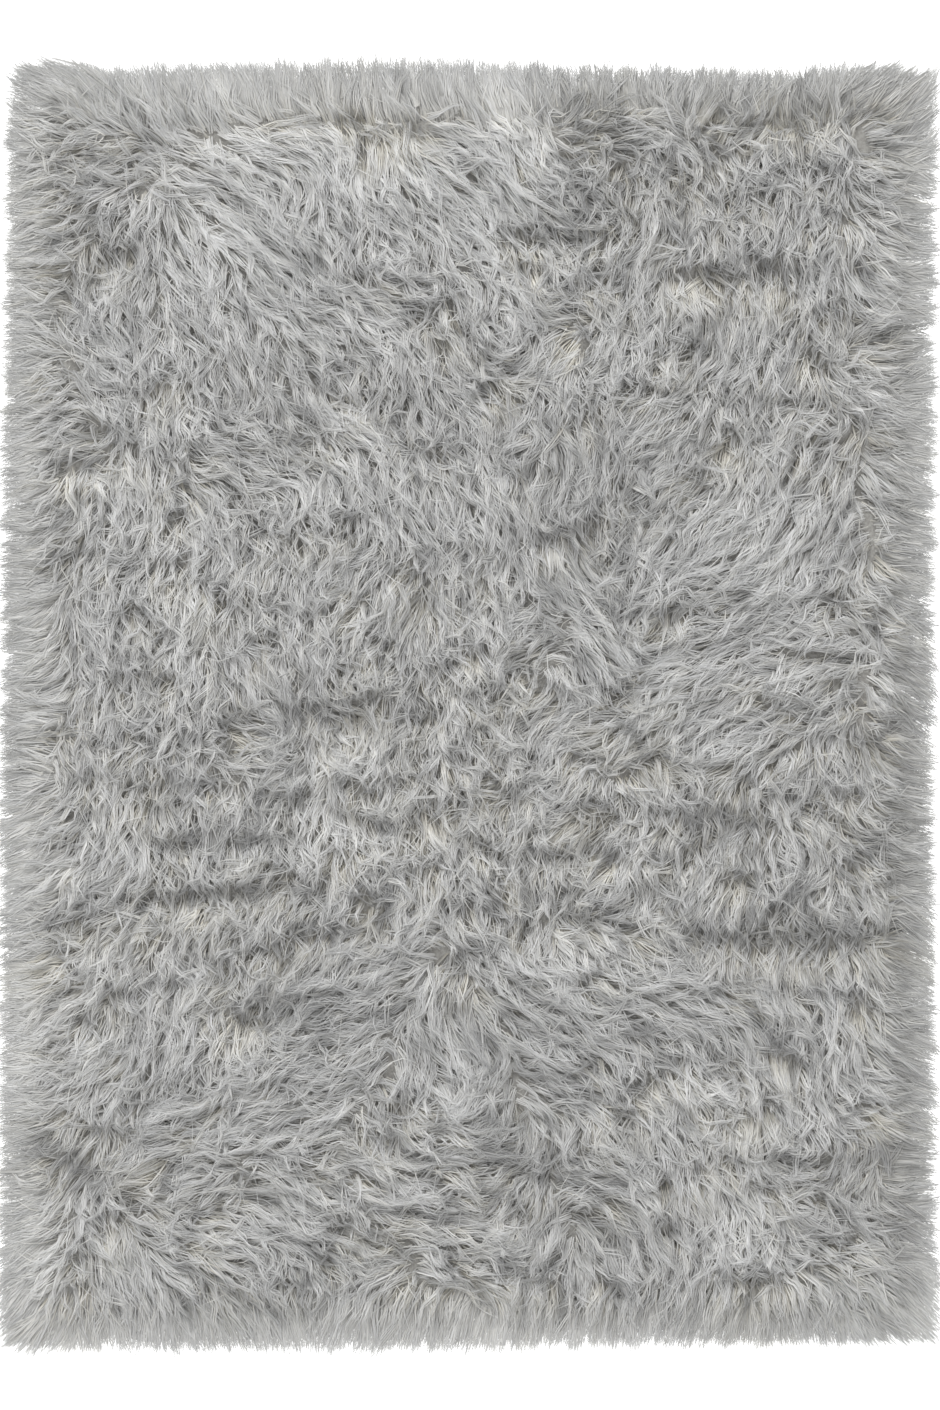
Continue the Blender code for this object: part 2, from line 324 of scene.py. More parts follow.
# painted shade: the underpile is darker than the strands, for the shade between the locks
UNDERPILE_SHADE_COLOURS = ((0.25, (0.26, 0.25, 0.235)), (0.75, (0.42, 0.415, 0.39)))
KNIT_COLOURS = ((0.1, (0.40, 0.395, 0.375)), (0.8, (0.62, 0.615, 0.59)))
STRAND_ROUGHNESS = 0.55
STRAND_SHEEN = 0.35
UNDERPILE_ROUGHNESS = 0.95
UNDERPILE_GRAIN = 220  # lumps to a metre
UNDERPILE_BUMP = (0.6, 0.002)  # strength and depth
KNIT_ROUGHNESS = 0.9
KNIT_BUMP = (0.5, 0.0005)
KNIT_WEAR = 30  # uneven places to a metre
KNIT_SHARES = (0.5, 0.5)  # of its ribs and courses, and of its uneven places, in its colour

# The white floor, the light and the camera
FLOOR_SIZE = 40
FLOOR_DROP = 0.0005
FLOOR_GREY = 0.9
FLOOR_GLOW = 0.9
ROOM_LIGHT = 0.93
SUN_STRENGTH = 1.8
SUN_SPREAD = 40  # degrees
SUN_TURN = (-48, -22)  # degrees about X and about Y
CAMERA_LENS = 85
CAMERA_SENSOR = 36
CAMERA_RANGE = 50
CAMERA_PLACE = (0.0035, 0.0007, 4.75)

Comb = namedtuple("Comb", "x y lie reach")
# The lie of the pile where it can be read in the rug: a place in millimetres from its middle, the way that
# the tips point there in degrees from +X towards +Y, and how far the stroke reaches in millimetres.
COMBS = {
    "far rim": (
        Comb(-615, 885, 158, 50), Comb(-530, 880, 152, 50), Comb(-350, 880, 138, 55),
        Comb(-265, 885, 124, 50), Comb(-180, 885, 108, 50), Comb(-60, 885, 111, 60), Comb(150, 885, 95, 50),
        Comb(385, 880, 55, 35), Comb(615, 880, 32, 50),
    ),
    "far left": (
        Comb(-620, 838, 178, 45), Comb(-540, 795, 193, 40), Comb(-620, 730, 192, 45),
        Comb(-600, 690, 206, 35), Comb(-515, 740, 184, 25), Comb(-500, 690, 262, 30),
        Comb(-530, 610, 268, 35), Comb(-600, 640, 184, 45), Comb(-635, 580, 182, 45),
        Comb(-585, 550, 320, 35), Comb(-300, 790, 334, 50), Comb(-265, 670, 318, 40),
        Comb(-245, 725, 268, 35), Comb(-320, 550, 289, 45), Comb(-265, 580, 318, 40),
    ),
    "far middle": (
        Comb(-220, 835, 345, 45), Comb(-110, 840, 302, 45), Comb(-35, 822, 332, 35), Comb(70, 835, 302, 45),
        Comb(145, 735, 314, 40), Comb(-50, 740, 324, 35), Comb(-150, 795, 276, 55),
        Comb(-200, 650, 292, 40), Comb(-110, 680, 296, 35), Comb(-60, 650, 276, 30), Comb(25, 635, 302, 45),
        Comb(75, 570, 304, 30), Comb(120, 640, 282, 35), Comb(165, 600, 300, 30), Comb(205, 635, 243, 35),
        Comb(135, 572, 192, 30), Comb(100, 505, 240, 35), Comb(0, 550, 288, 45), Comb(-90, 592, 350, 25),
        Comb(-155, 560, 308, 45), Comb(-210, 570, 330, 35), Comb(150, 835, 5, 30), Comb(205, 815, 355, 30),
        Comb(205, 765, 270, 30),
    ),
    "far right": (
        Comb(490, 790, 268, 50), Comb(440, 610, 268, 55), Comb(255, 580, 269, 35), Comb(430, 530, 252, 45),
        Comb(600, 835, 18, 40), Comb(590, 760, 329, 40), Comb(585, 600, 300, 30), Comb(635, 575, 350, 40),
        Comb(620, 505, 22, 40),
    ),
    "left": (
        Comb(-635, 300, 209, 45), Comb(-635, 185, 188, 40), Comb(-640, 60, 214, 40),
        Comb(-585, 440, 221, 40), Comb(-530, 455, 322, 30), Comb(-560, 368, 200, 25),
        Comb(-565, 310, 262, 35), Comb(-575, 240, 254, 40), Comb(-545, 90, 272, 45),
        Comb(-600, 70, 238, 35), Comb(-420, 430, 272, 50), Comb(-345, 372, 338, 35),
        Comb(-285, 343, 340, 35), Comb(-280, 430, 287, 40), Comb(-315, 270, 304, 35),
        Comb(-235, 275, 271, 35), Comb(-315, 190, 262, 35), Comb(-260, 130, 278, 45),
    ),
    "centre": (
        Comb(-110, 300, 294, 40), Comb(-100, 465, 278, 35), Comb(0, 460, 305, 35), Comb(33, 385, 282, 30),
        Comb(-210, 380, 314, 40), Comb(-50, 325, 279, 40), Comb(75, 470, 350, 30), Comb(80, 425, 272, 30),
        Comb(75, 383, 207, 22), Comb(145, 410, 292, 35), Comb(140, 330, 260, 35), Comb(-165, 160, 239, 45),
        Comb(-115, 150, 251, 40), Comb(-20, 140, 270, 45), Comb(110, 108, 206, 28), Comb(165, 180, 316, 35),
        Comb(130, 235, 292, 35), Comb(180, 85, 300, 40), Comb(220, 205, 262, 35),
    ),
    "right": (
        Comb(270, 440, 243, 50), Comb(375, 385, 258, 35), Comb(510, 350, 241, 40), Comb(580, 440, 330, 35),
        Comb(635, 425, 345, 35), Comb(605, 330, 328, 40), Comb(635, 280, 340, 40), Comb(300, 258, 236, 40),
        Comb(515, 235, 238, 40), Comb(330, 170, 196, 35), Comb(240, 150, 240, 28), Comb(430, 138, 211, 30),
        Comb(300, 112, 262, 22), Comb(300, 72, 203, 35), Comb(480, 95, 193, 40), Comb(560, 103, 172, 28),
        Comb(630, 190, 286, 35), Comb(580, 130, 313, 35), Comb(645, 20, 304, 45),
    ),
    "left, nearer": (
        Comb(-635, 0, 176, 35), Comb(-635, -60, 204, 35), Comb(-590, -75, 318, 28),
        Comb(-640, -130, 219, 40), Comb(-640, -310, 223, 50), Comb(-640, -400, 192, 40),
        Comb(-580, -150, 236, 40), Comb(-510, -150, 263, 35), Comb(-550, -230, 247, 45),
        Comb(-520, -280, 225, 35), Comb(-320, -65, 350, 28), Comb(-350, -160, 266, 45),
        Comb(-235, -95, 242, 30), Comb(-530, -350, 250, 40), Comb(-420, -420, 250, 40),
        Comb(-570, -405, 205, 35), Comb(-350, -430, 238, 35), Comb(-230, -340, 255, 40),
    ),
    "middle": (
        Comb(-170, -70, 270, 55), Comb(20, -40, 282, 35), Comb(-20, -160, 282, 35), Comb(45, -145, 243, 30),
        Comb(175, -150, 227, 40), Comb(115, -40, 228, 35), Comb(210, -55, 207, 30),
        Comb(-140, -215, 270, 45), Comb(140, -240, 270, 35), Comb(-95, -315, 256, 30),
        Comb(30, -310, 290, 35), Comb(90, -330, 246, 28), Comb(195, -260, 216, 35),
        Comb(-65, -338, 190, 28), Comb(-125, -362, 203, 35), Comb(-190, -395, 200, 35),
        Comb(10, -340, 326, 28), Comb(70, -380, 325, 40), Comb(135, -425, 322, 40),
        Comb(-30, -385, 256, 28), Comb(165, -335, 320, 30), Comb(215, -335, 334, 30),
        Comb(140, -385, 280, 22), Comb(-190, -475, 207, 40),
    ),
    "right, nearer": (
        Comb(300, 5, 208, 40), Comb(390, -45, 210, 40), Comb(500, 15, 204, 35), Comb(440, -110, 270, 30),
        Comb(510, -95, 272, 35), Comb(560, -85, 284, 35), Comb(640, -180, 328, 40),
        Comb(565, -200, 300, 40), Comb(240, -110, 303, 28), Comb(290, -105, 310, 25),
        Comb(255, -170, 236, 35), Comb(330, -170, 262, 35), Comb(375, -205, 242, 28),
        Comb(440, -205, 282, 35), Comb(500, -205, 284, 30), Comb(490, -245, 220, 30),
        Comb(270, -240, 264, 40), Comb(530, -275, 292, 40), Comb(600, -315, 222, 25),
        Comb(645, -350, 318, 40), Comb(350, -355, 265, 30), Comb(430, -365, 267, 40),
        Comb(550, -385, 274, 45), Comb(630, -400, 290, 35), Comb(285, -358, 332, 30),
        Comb(300, -405, 349, 40), Comb(460, -410, 310, 35), Comb(390, -415, 340, 30),
    ),
    "near left": (
        Comb(-640, -475, 217, 35), Comb(-590, -455, 225, 30), Comb(-610, -505, 197, 35),
        Comb(-640, -550, 192, 35), Comb(-580, -545, 215, 40), Comb(-525, -500, 226, 35),
        Comb(-635, -610, 218, 40), Comb(-500, -570, 259, 35), Comb(-560, -635, 232, 35),
        Comb(-640, -700, 233, 45), Comb(-600, -750, 252, 40), Comb(-640, -830, 233, 40),
        Comb(-580, -830, 265, 40), Comb(-525, -745, 280, 35), Comb(-480, -800, 304, 35),
        Comb(-450, -470, 262, 45), Comb(-370, -495, 264, 45), Comb(-390, -590, 197, 40),
        Comb(-310, -560, 193, 40), Comb(-430, -665, 196, 40), Comb(-355, -640, 184, 40),
        Comb(-290, -680, 346, 40), Comb(-235, -710, 331, 40), Comb(-440, -715, 345, 35),
        Comb(-380, -785, 0, 35), Comb(-370, -835, 321, 35), Comb(-300, -855, 317, 35),
        Comb(-250, -810, 285, 30), Comb(-430, -900, 283, 45), Comb(-310, -905, 297, 40),
    ),
    "near middle": (
        Comb(-200, -530, 189, 45), Comb(-130, -575, 290, 25), Comb(-30, -500, 298, 35),
        Comb(30, -550, 250, 30), Comb(100, -550, 340, 30), Comb(20, -625, 3, 40), Comb(-20, -680, 352, 40),
        Comb(95, -605, 270, 28), Comb(180, -705, 338, 35), Comb(75, -705, 246, 32),
        Comb(115, -755, 237, 32), Comb(10, -780, 338, 45), Comb(200, -770, 300, 40),
        Comb(-185, -770, 319, 32), Comb(-115, -812, 205, 30), Comb(-40, -795, 352, 35),
        Comb(-140, -865, 240, 45), Comb(-50, -860, 243, 45), Comb(140, -865, 263, 50),
    ),
    "near right": (
        Comb(340, -520, 303, 45), Comb(420, -470, 290, 35), Comb(500, -500, 271, 35),
        Comb(620, -510, 300, 40), Comb(650, -580, 317, 40), Comb(545, -575, 299, 45),
        Comb(420, -600, 272, 40), Comb(485, -600, 268, 30), Comb(470, -645, 197, 35),
        Comb(560, -650, 245, 30), Comb(610, -670, 275, 35), Comb(410, -680, 300, 35),
        Comb(310, -745, 290, 35), Comb(385, -755, 270, 35), Comb(530, -745, 329, 40),
        Comb(600, -800, 317, 45), Comb(290, -860, 243, 45), Comb(620, -865, 304, 50),
    ),
}

Parting = namedtuple("Parting", "x0 y0 x1 y1 depth lee")
# Where the pile parts: a line from (x0, y0) to (x1, y1) in millimetres from the middle, how deep it is
# against the rest, and how far the low pile beyond it shows in millimetres.
PARTINGS = {
    "far left": (
        Parting(-592, 762, -558, 768, 0.8, 14), Parting(-535, 771, -503, 772, 0.7, 12),
        Parting(-505, 788, -470, 794, 0.6, 12), Parting(-560, 742, -555, 700, 0.6, 14),
        Parting(-535, 655, -482, 640, 1.0, 34), Parting(-262, 828, -214, 827, 0.6, 12),
        Parting(-130, 605, -50, 605, 0.5, 14), Parting(-545, 390, -515, 388, 0.8, 16),
        Parting(-595, 340, -525, 340, 0.7, 14), Parting(-585, 212, -520, 212, 0.6, 14),
        Parting(-330, 213, -270, 200, 0.6, 14), Parting(-335, 146, -270, 136, 0.6, 12),
        Parting(-445, 88, -420, 94, 0.7, 12), Parting(-450, 33, -420, 33, 0.7, 12),
    ),
    "far right": (
        Parting(50, 665, 215, 668, 0.9, 16), Parting(190, 780, 240, 780, 0.9, 14),
        Parting(190, 742, 240, 742, 0.8, 14), Parting(150, 700, 240, 694, 0.6, 12),
        Parting(385, 812, 425, 822, 0.8, 14), Parting(440, 825, 468, 828, 0.8, 12),
        Parting(475, 838, 590, 842, 0.8, 16), Parting(330, 790, 360, 788, 0.7, 12),
        Parting(560, 785, 605, 784, 0.8, 14), Parting(500, 758, 520, 757, 0.8, 12),
        Parting(505, 697, 535, 694, 0.7, 12), Parting(290, 612, 470, 612, 0.8, 34),
        Parting(300, 503, 350, 503, 0.7, 14), Parting(515, 522, 606, 516, 0.6, 24),
        Parting(370, 432, 500, 426, 0.6, 14), Parting(45, 325, 110, 330, 0.7, 14),
        Parting(105, 247, 212, 222, 0.6, 14), Parting(215, 308, 298, 266, 0.7, 14),
        Parting(270, 125, 330, 125, 0.6, 10), Parting(520, 205, 610, 222, 0.6, 14),
        Parting(450, 70, 500, 68, 0.5, 12), Parting(-210, 245, -160, 240, 0.6, 14),
    ),
    "left": (
        Parting(-540, -50, -500, -57, 0.6, 12), Parting(-345, -22, -310, -20, 0.8, 14),
        Parting(-410, -40, -385, -43, 0.6, 10), Parting(-570, -103, -440, -118, 0.9, 14),
        Parting(-390, -108, -340, -115, 0.8, 12), Parting(-545, -150, -515, -153, 0.6, 12),
        Parting(-250, -135, -215, -137, 0.7, 12), Parting(-440, -202, -395, -190, 0.8, 14),
        Parting(-330, -192, -285, -190, 0.8, 14), Parting(-440, -275, -215, -258, 1.0, 18),
        Parting(-600, -305, -460, -292, 0.9, 16), Parting(-320, -347, -230, -330, 0.9, 16),
        Parting(-230, -330, -115, -305, 0.8, 14), Parting(-440, -393, -400, -390, 0.7, 14),
        Parting(-295, -427, -255, -423, 0.7, 14), Parting(-545, -450, -510, -450, 0.7, 14),
        Parting(-510, -497, -490, -498, 0.6, 10), Parting(-350, -455, -310, -455, 0.7, 14),
        Parting(-560, -598, -480, -606, 0.9, 30),
    ),
    "middle": (
        Parting(-210, -17, -190, -17, 0.7, 12), Parting(-80, -18, -60, -18, 0.7, 12),
        Parting(-108, -68, -95, -70, 0.6, 10), Parting(30, -73, 100, -75, 0.7, 12),
        Parting(-90, -105, -50, -103, 0.6, 12), Parting(-175, -155, -90, -178, 0.7, 14),
        Parting(-90, -178, -60, -170, 0.6, 12), Parting(0, -190, 60, -225, 0.8, 14),
        Parting(80, -210, 140, -218, 0.8, 14), Parting(140, -218, 210, -205, 0.7, 14),
        Parting(157, -82, 250, -85, 0.6, 12), Parting(-160, -270, -120, -290, 0.7, 12),
        Parting(-30, -285, 10, -285, 0.6, 12), Parting(130, -305, 200, -300, 0.9, 16),
        Parting(-40, -362, 40, -352, 0.6, 12),
    ),
    "right": (
        Parting(250, -75, 400, -90, 0.7, 16), Parting(400, -90, 500, -45, 0.6, 16),
        Parting(560, -40, 600, -65, 0.7, 14), Parting(300, -310, 360, -328, 0.9, 20),
        Parting(360, -328, 470, -335, 1.3, 26), Parting(470, -335, 605, -325, 1.3, 26),
        Parting(405, -172, 425, -172, 0.8, 14), Parting(460, -265, 480, -265, 0.6, 12),
        Parting(345, -408, 370, -408, 0.8, 14), Parting(350, -402, 557, -416, 0.6, 14),
        Parting(160, -515, 190, -515, 0.8, 14), Parting(60, -590, 110, -588, 0.7, 16),
        Parting(428, -492, 478, -508, 1.1, 20), Parting(350, -495, 370, -497, 0.7, 12),
    ),
    "near": (
        Parting(320, -574, 450, -568, 0.7, 34), Parting(430, -640, 475, -650, 0.9, 16),
        Parting(370, -818, 450, -812, 0.8, 16), Parting(-370, -812, -230, -812, 0.6, 14),
        Parting(-110, -812, 50, -815, 0.7, 14), Parting(50, -815, 200, -816, 0.7, 14),
        Parting(-97, -630, 17, -728, 0.4, 10), Parting(475, -646, 610, -650, 0.5, 14),
        Parting(17, -630, 110, -672, 0.6, 16), Parting(-608, -632, -560, -655, 0.6, 18),
    ),
}

Fold = namedtuple("Fold", "x0 y0 x1 y1 half_width light")
# Crests and hollows of the pile: a line from (x0, y0) to (x1, y1), how wide it is to each side in millimetres
# and how much lighter or darker it is than the rest: painted light on a crest, painted shade in a hollow.
FOLDS = {
    "far left": (
        Fold(-480, 792, -400, 828, 8, -0.7), Fold(-400, 828, -345, 828, 8, -0.7),
        Fold(-580, 770, -575, 735, 9, -0.7), Fold(-570, 736, -480, 741, 7, -0.7),
        Fold(-530, 615, -475, 655, 20, -0.7), Fold(-530, 518, -522, 522, 12, -0.9),
        Fold(-545, 388, -528, 388, 11, -0.9), Fold(-590, 345, -525, 342, 11, -0.9),
        Fold(-350, 475, -350, 375, 7, -0.5), Fold(-245, 622, -220, 628, 15, -1),
        Fold(-236, 515, -208, 445, 8, -0.9), Fold(-575, 275, -570, 272, 12, -0.9),
        Fold(-605, 192, -545, 215, 9, -0.8), Fold(-355, 873, -350, 870, 20, 0.8),
        Fold(-390, 690, -320, 640, 24, 0.6), Fold(-360, 600, -345, 500, 14, 0.6),
        Fold(-455, 450, -445, 300, 26, 0.4), Fold(-585, 320, -570, 315, 14, 0.9),
        Fold(-530, 318, -520, 312, 12, 0.9), Fold(-505, 590, -495, 595, 14, 0.6),
        Fold(-180, 745, -120, 730, 24, 0.6), Fold(-235, 565, -203, 500, 8, 0.9),
        Fold(-175, 455, -103, 315, 13, 0.9), Fold(-140, 540, -110, 505, 11, 0.7),
    ),
    "far middle": (
        Fold(-80, 812, -15, 815, 8, -0.7), Fold(-32, 720, -24, 718, 11, -0.9),
        Fold(-100, 690, -85, 683, 11, -0.7), Fold(-65, 622, -62, 615, 12, -0.9),
        Fold(155, 855, 170, 848, 12, -0.9), Fold(190, 832, 220, 822, 12, -0.9),
        Fold(140, 780, 225, 786, 14, -0.9), Fold(150, 755, 156, 748, 12, -0.9),
        Fold(215, 735, 232, 737, 10, -0.8), Fold(165, 720, 180, 700, 14, -0.6),
        Fold(80, 660, 200, 664, 10, -0.8), Fold(120, 690, 160, 686, 10, -0.7),
        Fold(-85, 440, -78, 434, 12, -1), Fold(-120, 445, -66, 315, 7, -1),
        Fold(-66, 315, -50, 305, 12, -0.7), Fold(118, 453, 50, 408, 9, -0.7),
        Fold(45, 375, 55, 335, 10, -0.6), Fold(190, 370, 250, 340, 14, -0.5),
        Fold(222, 315, 230, 308, 12, -0.7), Fold(45, 880, 75, 740, 22, 0.9),
        Fold(20, 700, 40, 640, 20, 0.8), Fold(80, 655, 140, 610, 16, 0.7),
        Fold(150, 500, 205, 512, 16, 0.9), Fold(12, 400, 28, 318, 9, 0.8),
        Fold(250, 690, 262, 600, 12, 0.4), Fold(-240, 305, -215, 300, 16, 0.9),
    ),
    "far right": (
        Fold(310, 855, 365, 845, 14, -0.5), Fold(345, 790, 360, 786, 13, -1),
        Fold(285, 770, 292, 755, 11, -0.7), Fold(390, 815, 455, 836, 11, -1),
        Fold(460, 838, 540, 862, 9, -0.9), Fold(550, 844, 590, 844, 9, -0.9),
        Fold(548, 785, 568, 784, 11, -0.9), Fold(500, 764, 525, 762, 12, -1),
        Fold(340, 712, 385, 705, 12, -0.5), Fold(470, 684, 480, 682, 11, -0.8),
        Fold(298, 607, 345, 607, 11, -0.9), Fold(375, 612, 500, 616, 11, -0.9),
        Fold(560, 618, 580, 616, 11, -0.8), Fold(325, 506, 352, 508, 11, -0.9),
        Fold(540, 528, 585, 535, 18, -0.7), Fold(367, 432, 378, 426, 12, -0.9),
        Fold(415, 435, 430, 412, 10, -0.7), Fold(475, 428, 490, 425, 12, -0.9),
        Fold(320, 362, 350, 364, 12, -0.9), Fold(565, 362, 590, 360, 12, -0.9),
        Fold(445, 312, 475, 300, 10, -0.9), Fold(500, 668, 550, 664, 14, 0.6),
        Fold(320, 572, 480, 574, 14, 0.4),
    ),
    "upper left": (
        Fold(-240, 240, -236, 228, 12, -0.8), Fold(-195, 242, -160, 243, 9, -0.8),
        Fold(-322, 213, -312, 213, 11, -0.8), Fold(-280, 155, -276, 140, 12, -0.8),
        Fold(-430, 98, -424, 85, 12, -1), Fold(-604, 26, -565, 26, 11, -0.8),
        Fold(-450, 20, -436, 34, 12, -1), Fold(-268, 33, -258, 33, 11, -0.8),
        Fold(-230, 30, -218, 26, 12, -0.9), Fold(-92, 26, -82, 30, 12, -1),
        Fold(-78, -18, -68, -18, 12, -1), Fold(-345, -22, -312, -20, 11, -0.8),
        Fold(-255, -17, -155, -16, 12, -1), Fold(-320, -24, -400, -50, 9, -0.6),
        Fold(-400, -50, -480, -88, 9, -0.5), Fold(-420, 240, -395, 60, 28, 0.5),
        Fold(-395, 70, -425, 20, 14, 0.5), Fold(-325, 185, -315, 165, 12, 0.8),
        Fold(-155, 100, -140, 40, 14, 0.5), Fold(-15, 160, -5, 40, 12, 0.4), Fold(35, 90, 45, 40, 14, 0.5),
    ),
    "upper right": (
        Fold(60, 250, 175, 212, 11, -0.9), Fold(235, 272, 250, 258, 10, -0.9),
        Fold(550, 213, 640, 213, 10, -0.9), Fold(500, 285, 620, 278, 9, -0.5),
        Fold(235, 126, 246, 134, 12, -1), Fold(505, 150, 585, 108, 9, -0.7),
        Fold(62, -28, 76, -34, 10, -0.8), Fold(0, -44, 55, -82, 9, -0.9), Fold(492, -48, 508, -48, 14, -1),
        Fold(555, -42, 585, -56, 11, -0.8), Fold(340, 270, 460, 260, 30, 0.5),
        Fold(420, 185, 475, 165, 26, 0.6), Fold(310, 60, 480, 30, 24, 0.4),
        Fold(310, -30, 390, -70, 22, 0.5),
    ),
    "lower left": (
        Fold(-535, -160, -520, -150, 10, -0.8), Fold(-300, -130, -285, -124, 12, -1),
        Fold(-245, -134, -230, -130, 12, -1), Fold(-178, -155, -120, -172, 9, -1),
        Fold(-120, -172, -45, -160, 9, -1), Fold(-432, -200, -400, -190, 12, -1),
        Fold(-380, -192, -290, -190, 11, -0.7), Fold(-462, -282, -400, -268, 11, -1),
        Fold(-400, -268, -225, -258, 11, -0.9), Fold(-148, -276, -134, -282, 14, -1.1),
        Fold(-600, -318, -480, -318, 10, -0.7), Fold(-302, -347, -160, -320, 11, -1),
        Fold(-440, -393, -424, -391, 13, -1.1), Fold(-592, -404, -560, -402, 12, -0.8),
        Fold(-330, -458, -240, -418, 15, -1), Fold(-207, -428, -205, -488, 13, -0.9),
        Fold(-136, -430, -124, -432, 13, -0.9), Fold(-545, -444, -510, -450, 9, -0.7),
        Fold(-470, -448, -468, -470, 12, -0.7), Fold(-97, -368, -86, -370, 13, -1),
        Fold(-45, -364, 40, -338, 11, -1), Fold(-610, -625, -520, -680, 22, -0.8),
        Fold(-185, -72, -130, -80, 18, 0.7), Fold(-205, -185, -140, -210, 22, 0.8),
        Fold(-240, -230, -200, -225, 16, 0.5), Fold(-510, -165, -490, -168, 18, 0.7),
        Fold(-600, -245, -440, -222, 16, 0.6), Fold(-390, -235, -270, -225, 14, 0.6),
        Fold(-440, -305, -350, -300, 14, 0.6), Fold(-590, -365, -530, -360, 18, 0.7),
        Fold(-600, -460, -530, -480, 22, 0.5), Fold(-535, -480, -560, -575, 11, 0.7),
        Fold(-330, -510, -318, -520, 16, 0.7), Fold(-268, -480, -262, -515, 13, 0.7),
        Fold(-640, -380, -640, -560, 20, 0.4),
    ),
    "lower middle": (
        Fold(0, -187, 70, -240, 9, -0.9), Fold(90, -214, 195, -207, 9, -1),
        Fold(35, -290, 48, -286, 13, -1), Fold(-30, -290, -20, -290, 11, -0.8),
        Fold(246, -260, 254, -260, 12, -1), Fold(120, -308, 195, -306, 11, -0.8),
        Fold(-15, -428, -10, -434, 12, -0.9), Fold(52, -435, 60, -436, 12, -0.8),
        Fold(15, -470, 25, -480, 12, -0.9), Fold(66, -486, 82, -490, 11, -0.8),
        Fold(70, -525, 80, -532, 11, -0.8), Fold(168, -512, 188, -514, 14, -1.1),
        Fold(215, -475, 265, -458, 12, -0.9), Fold(265, -490, 295, -522, 9, -0.7),
        Fold(-150, -576, -140, -578, 11, -0.8), Fold(25, -588, 36, -588, 12, -0.9),
        Fold(112, -588, 125, -588, 11, -0.9), Fold(215, -585, 235, -586, 10, -0.7),
        Fold(-95, -620, -8, -720, 9, -1), Fold(30, -630, 80, -670, 24, -0.7),
        Fold(95, -793, 150, -793, 10, -0.7), Fold(150, -730, 250, -760, 34, -0.5),
        Fold(205, -830, 225, -832, 16, -0.8), Fold(-180, -835, -118, -825, 10, -0.6),
        Fold(20, -225, 55, -248, 12, 0.8), Fold(130, -368, 190, -364, 14, 1),
        Fold(-80, -612, -40, -616, 14, 0.7), Fold(-190, -870, 60, -868, 14, 0.4),
    ),
    "lower right": (
        Fold(365, -158, 420, -168, 14, -1.1), Fold(325, -172, 340, -174, 12, -0.8),
        Fold(395, -215, 408, -216, 11, -0.8), Fold(504, -150, 512, -154, 12, -0.9),
        Fold(550, -200, 580, -196, 13, -0.9), Fold(462, -268, 476, -266, 13, -1),
        Fold(432, -285, 448, -285, 12, -0.9), Fold(315, -322, 370, -326, 13, -0.9),
        Fold(410, -333, 550, -333, 22, -1.2), Fold(570, -350, 620, -355, 16, -0.9),
        Fold(352, -412, 365, -412, 13, -1), Fold(402, -440, 416, -444, 12, -0.9),
        Fold(430, -470, 455, -470, 14, -1), Fold(440, -512, 470, -510, 15, -1.1),
        Fold(490, -406, 502, -406, 12, -0.9), Fold(550, -440, 600, -442, 12, -0.8),
        Fold(440, -648, 462, -650, 15, -1.1), Fold(565, -620, 590, -640, 11, -0.7),
        Fold(530, -700, 600, -740, 26, -0.5), Fold(372, -815, 445, -815, 9, -0.6),
        Fold(600, -170, 600, -250, 14, -0.4), Fold(312, -562, 395, -558, 15, 1),
        Fold(580, -580, 605, -582, 12, 0.6), Fold(372, -730, 376, -765, 15, 1),
        Fold(430, -790, 480, -800, 16, 0.4), Fold(590, -820, 630, -860, 24, 0.4),
    ),
    "near left": (
        Fold(-370, -822, -270, -868, 9, -0.7), Fold(-600, -720, -560, -860, 34, 0.4),
        Fold(-420, -740, -330, -760, 24, 0.3),
    ),
    "rim": (
        Fold(-540, 828, 120, 828, 12, -0.3), Fold(-585, 760, -585, 120, 11, -0.4),
        Fold(-588, -60, -590, -760, 11, -0.3), Fold(-560, 870, 640, 870, 20, -0.45),
        Fold(632, 840, 632, 60, 28, -0.80), Fold(628, 60, 628, -860, 32, -1.15),
        Fold(-600, -862, 590, -868, 36, -0.55),
    ),
}

ShadePatch = namedtuple("ShadePatch", "name x y half_width half_length light unrest")
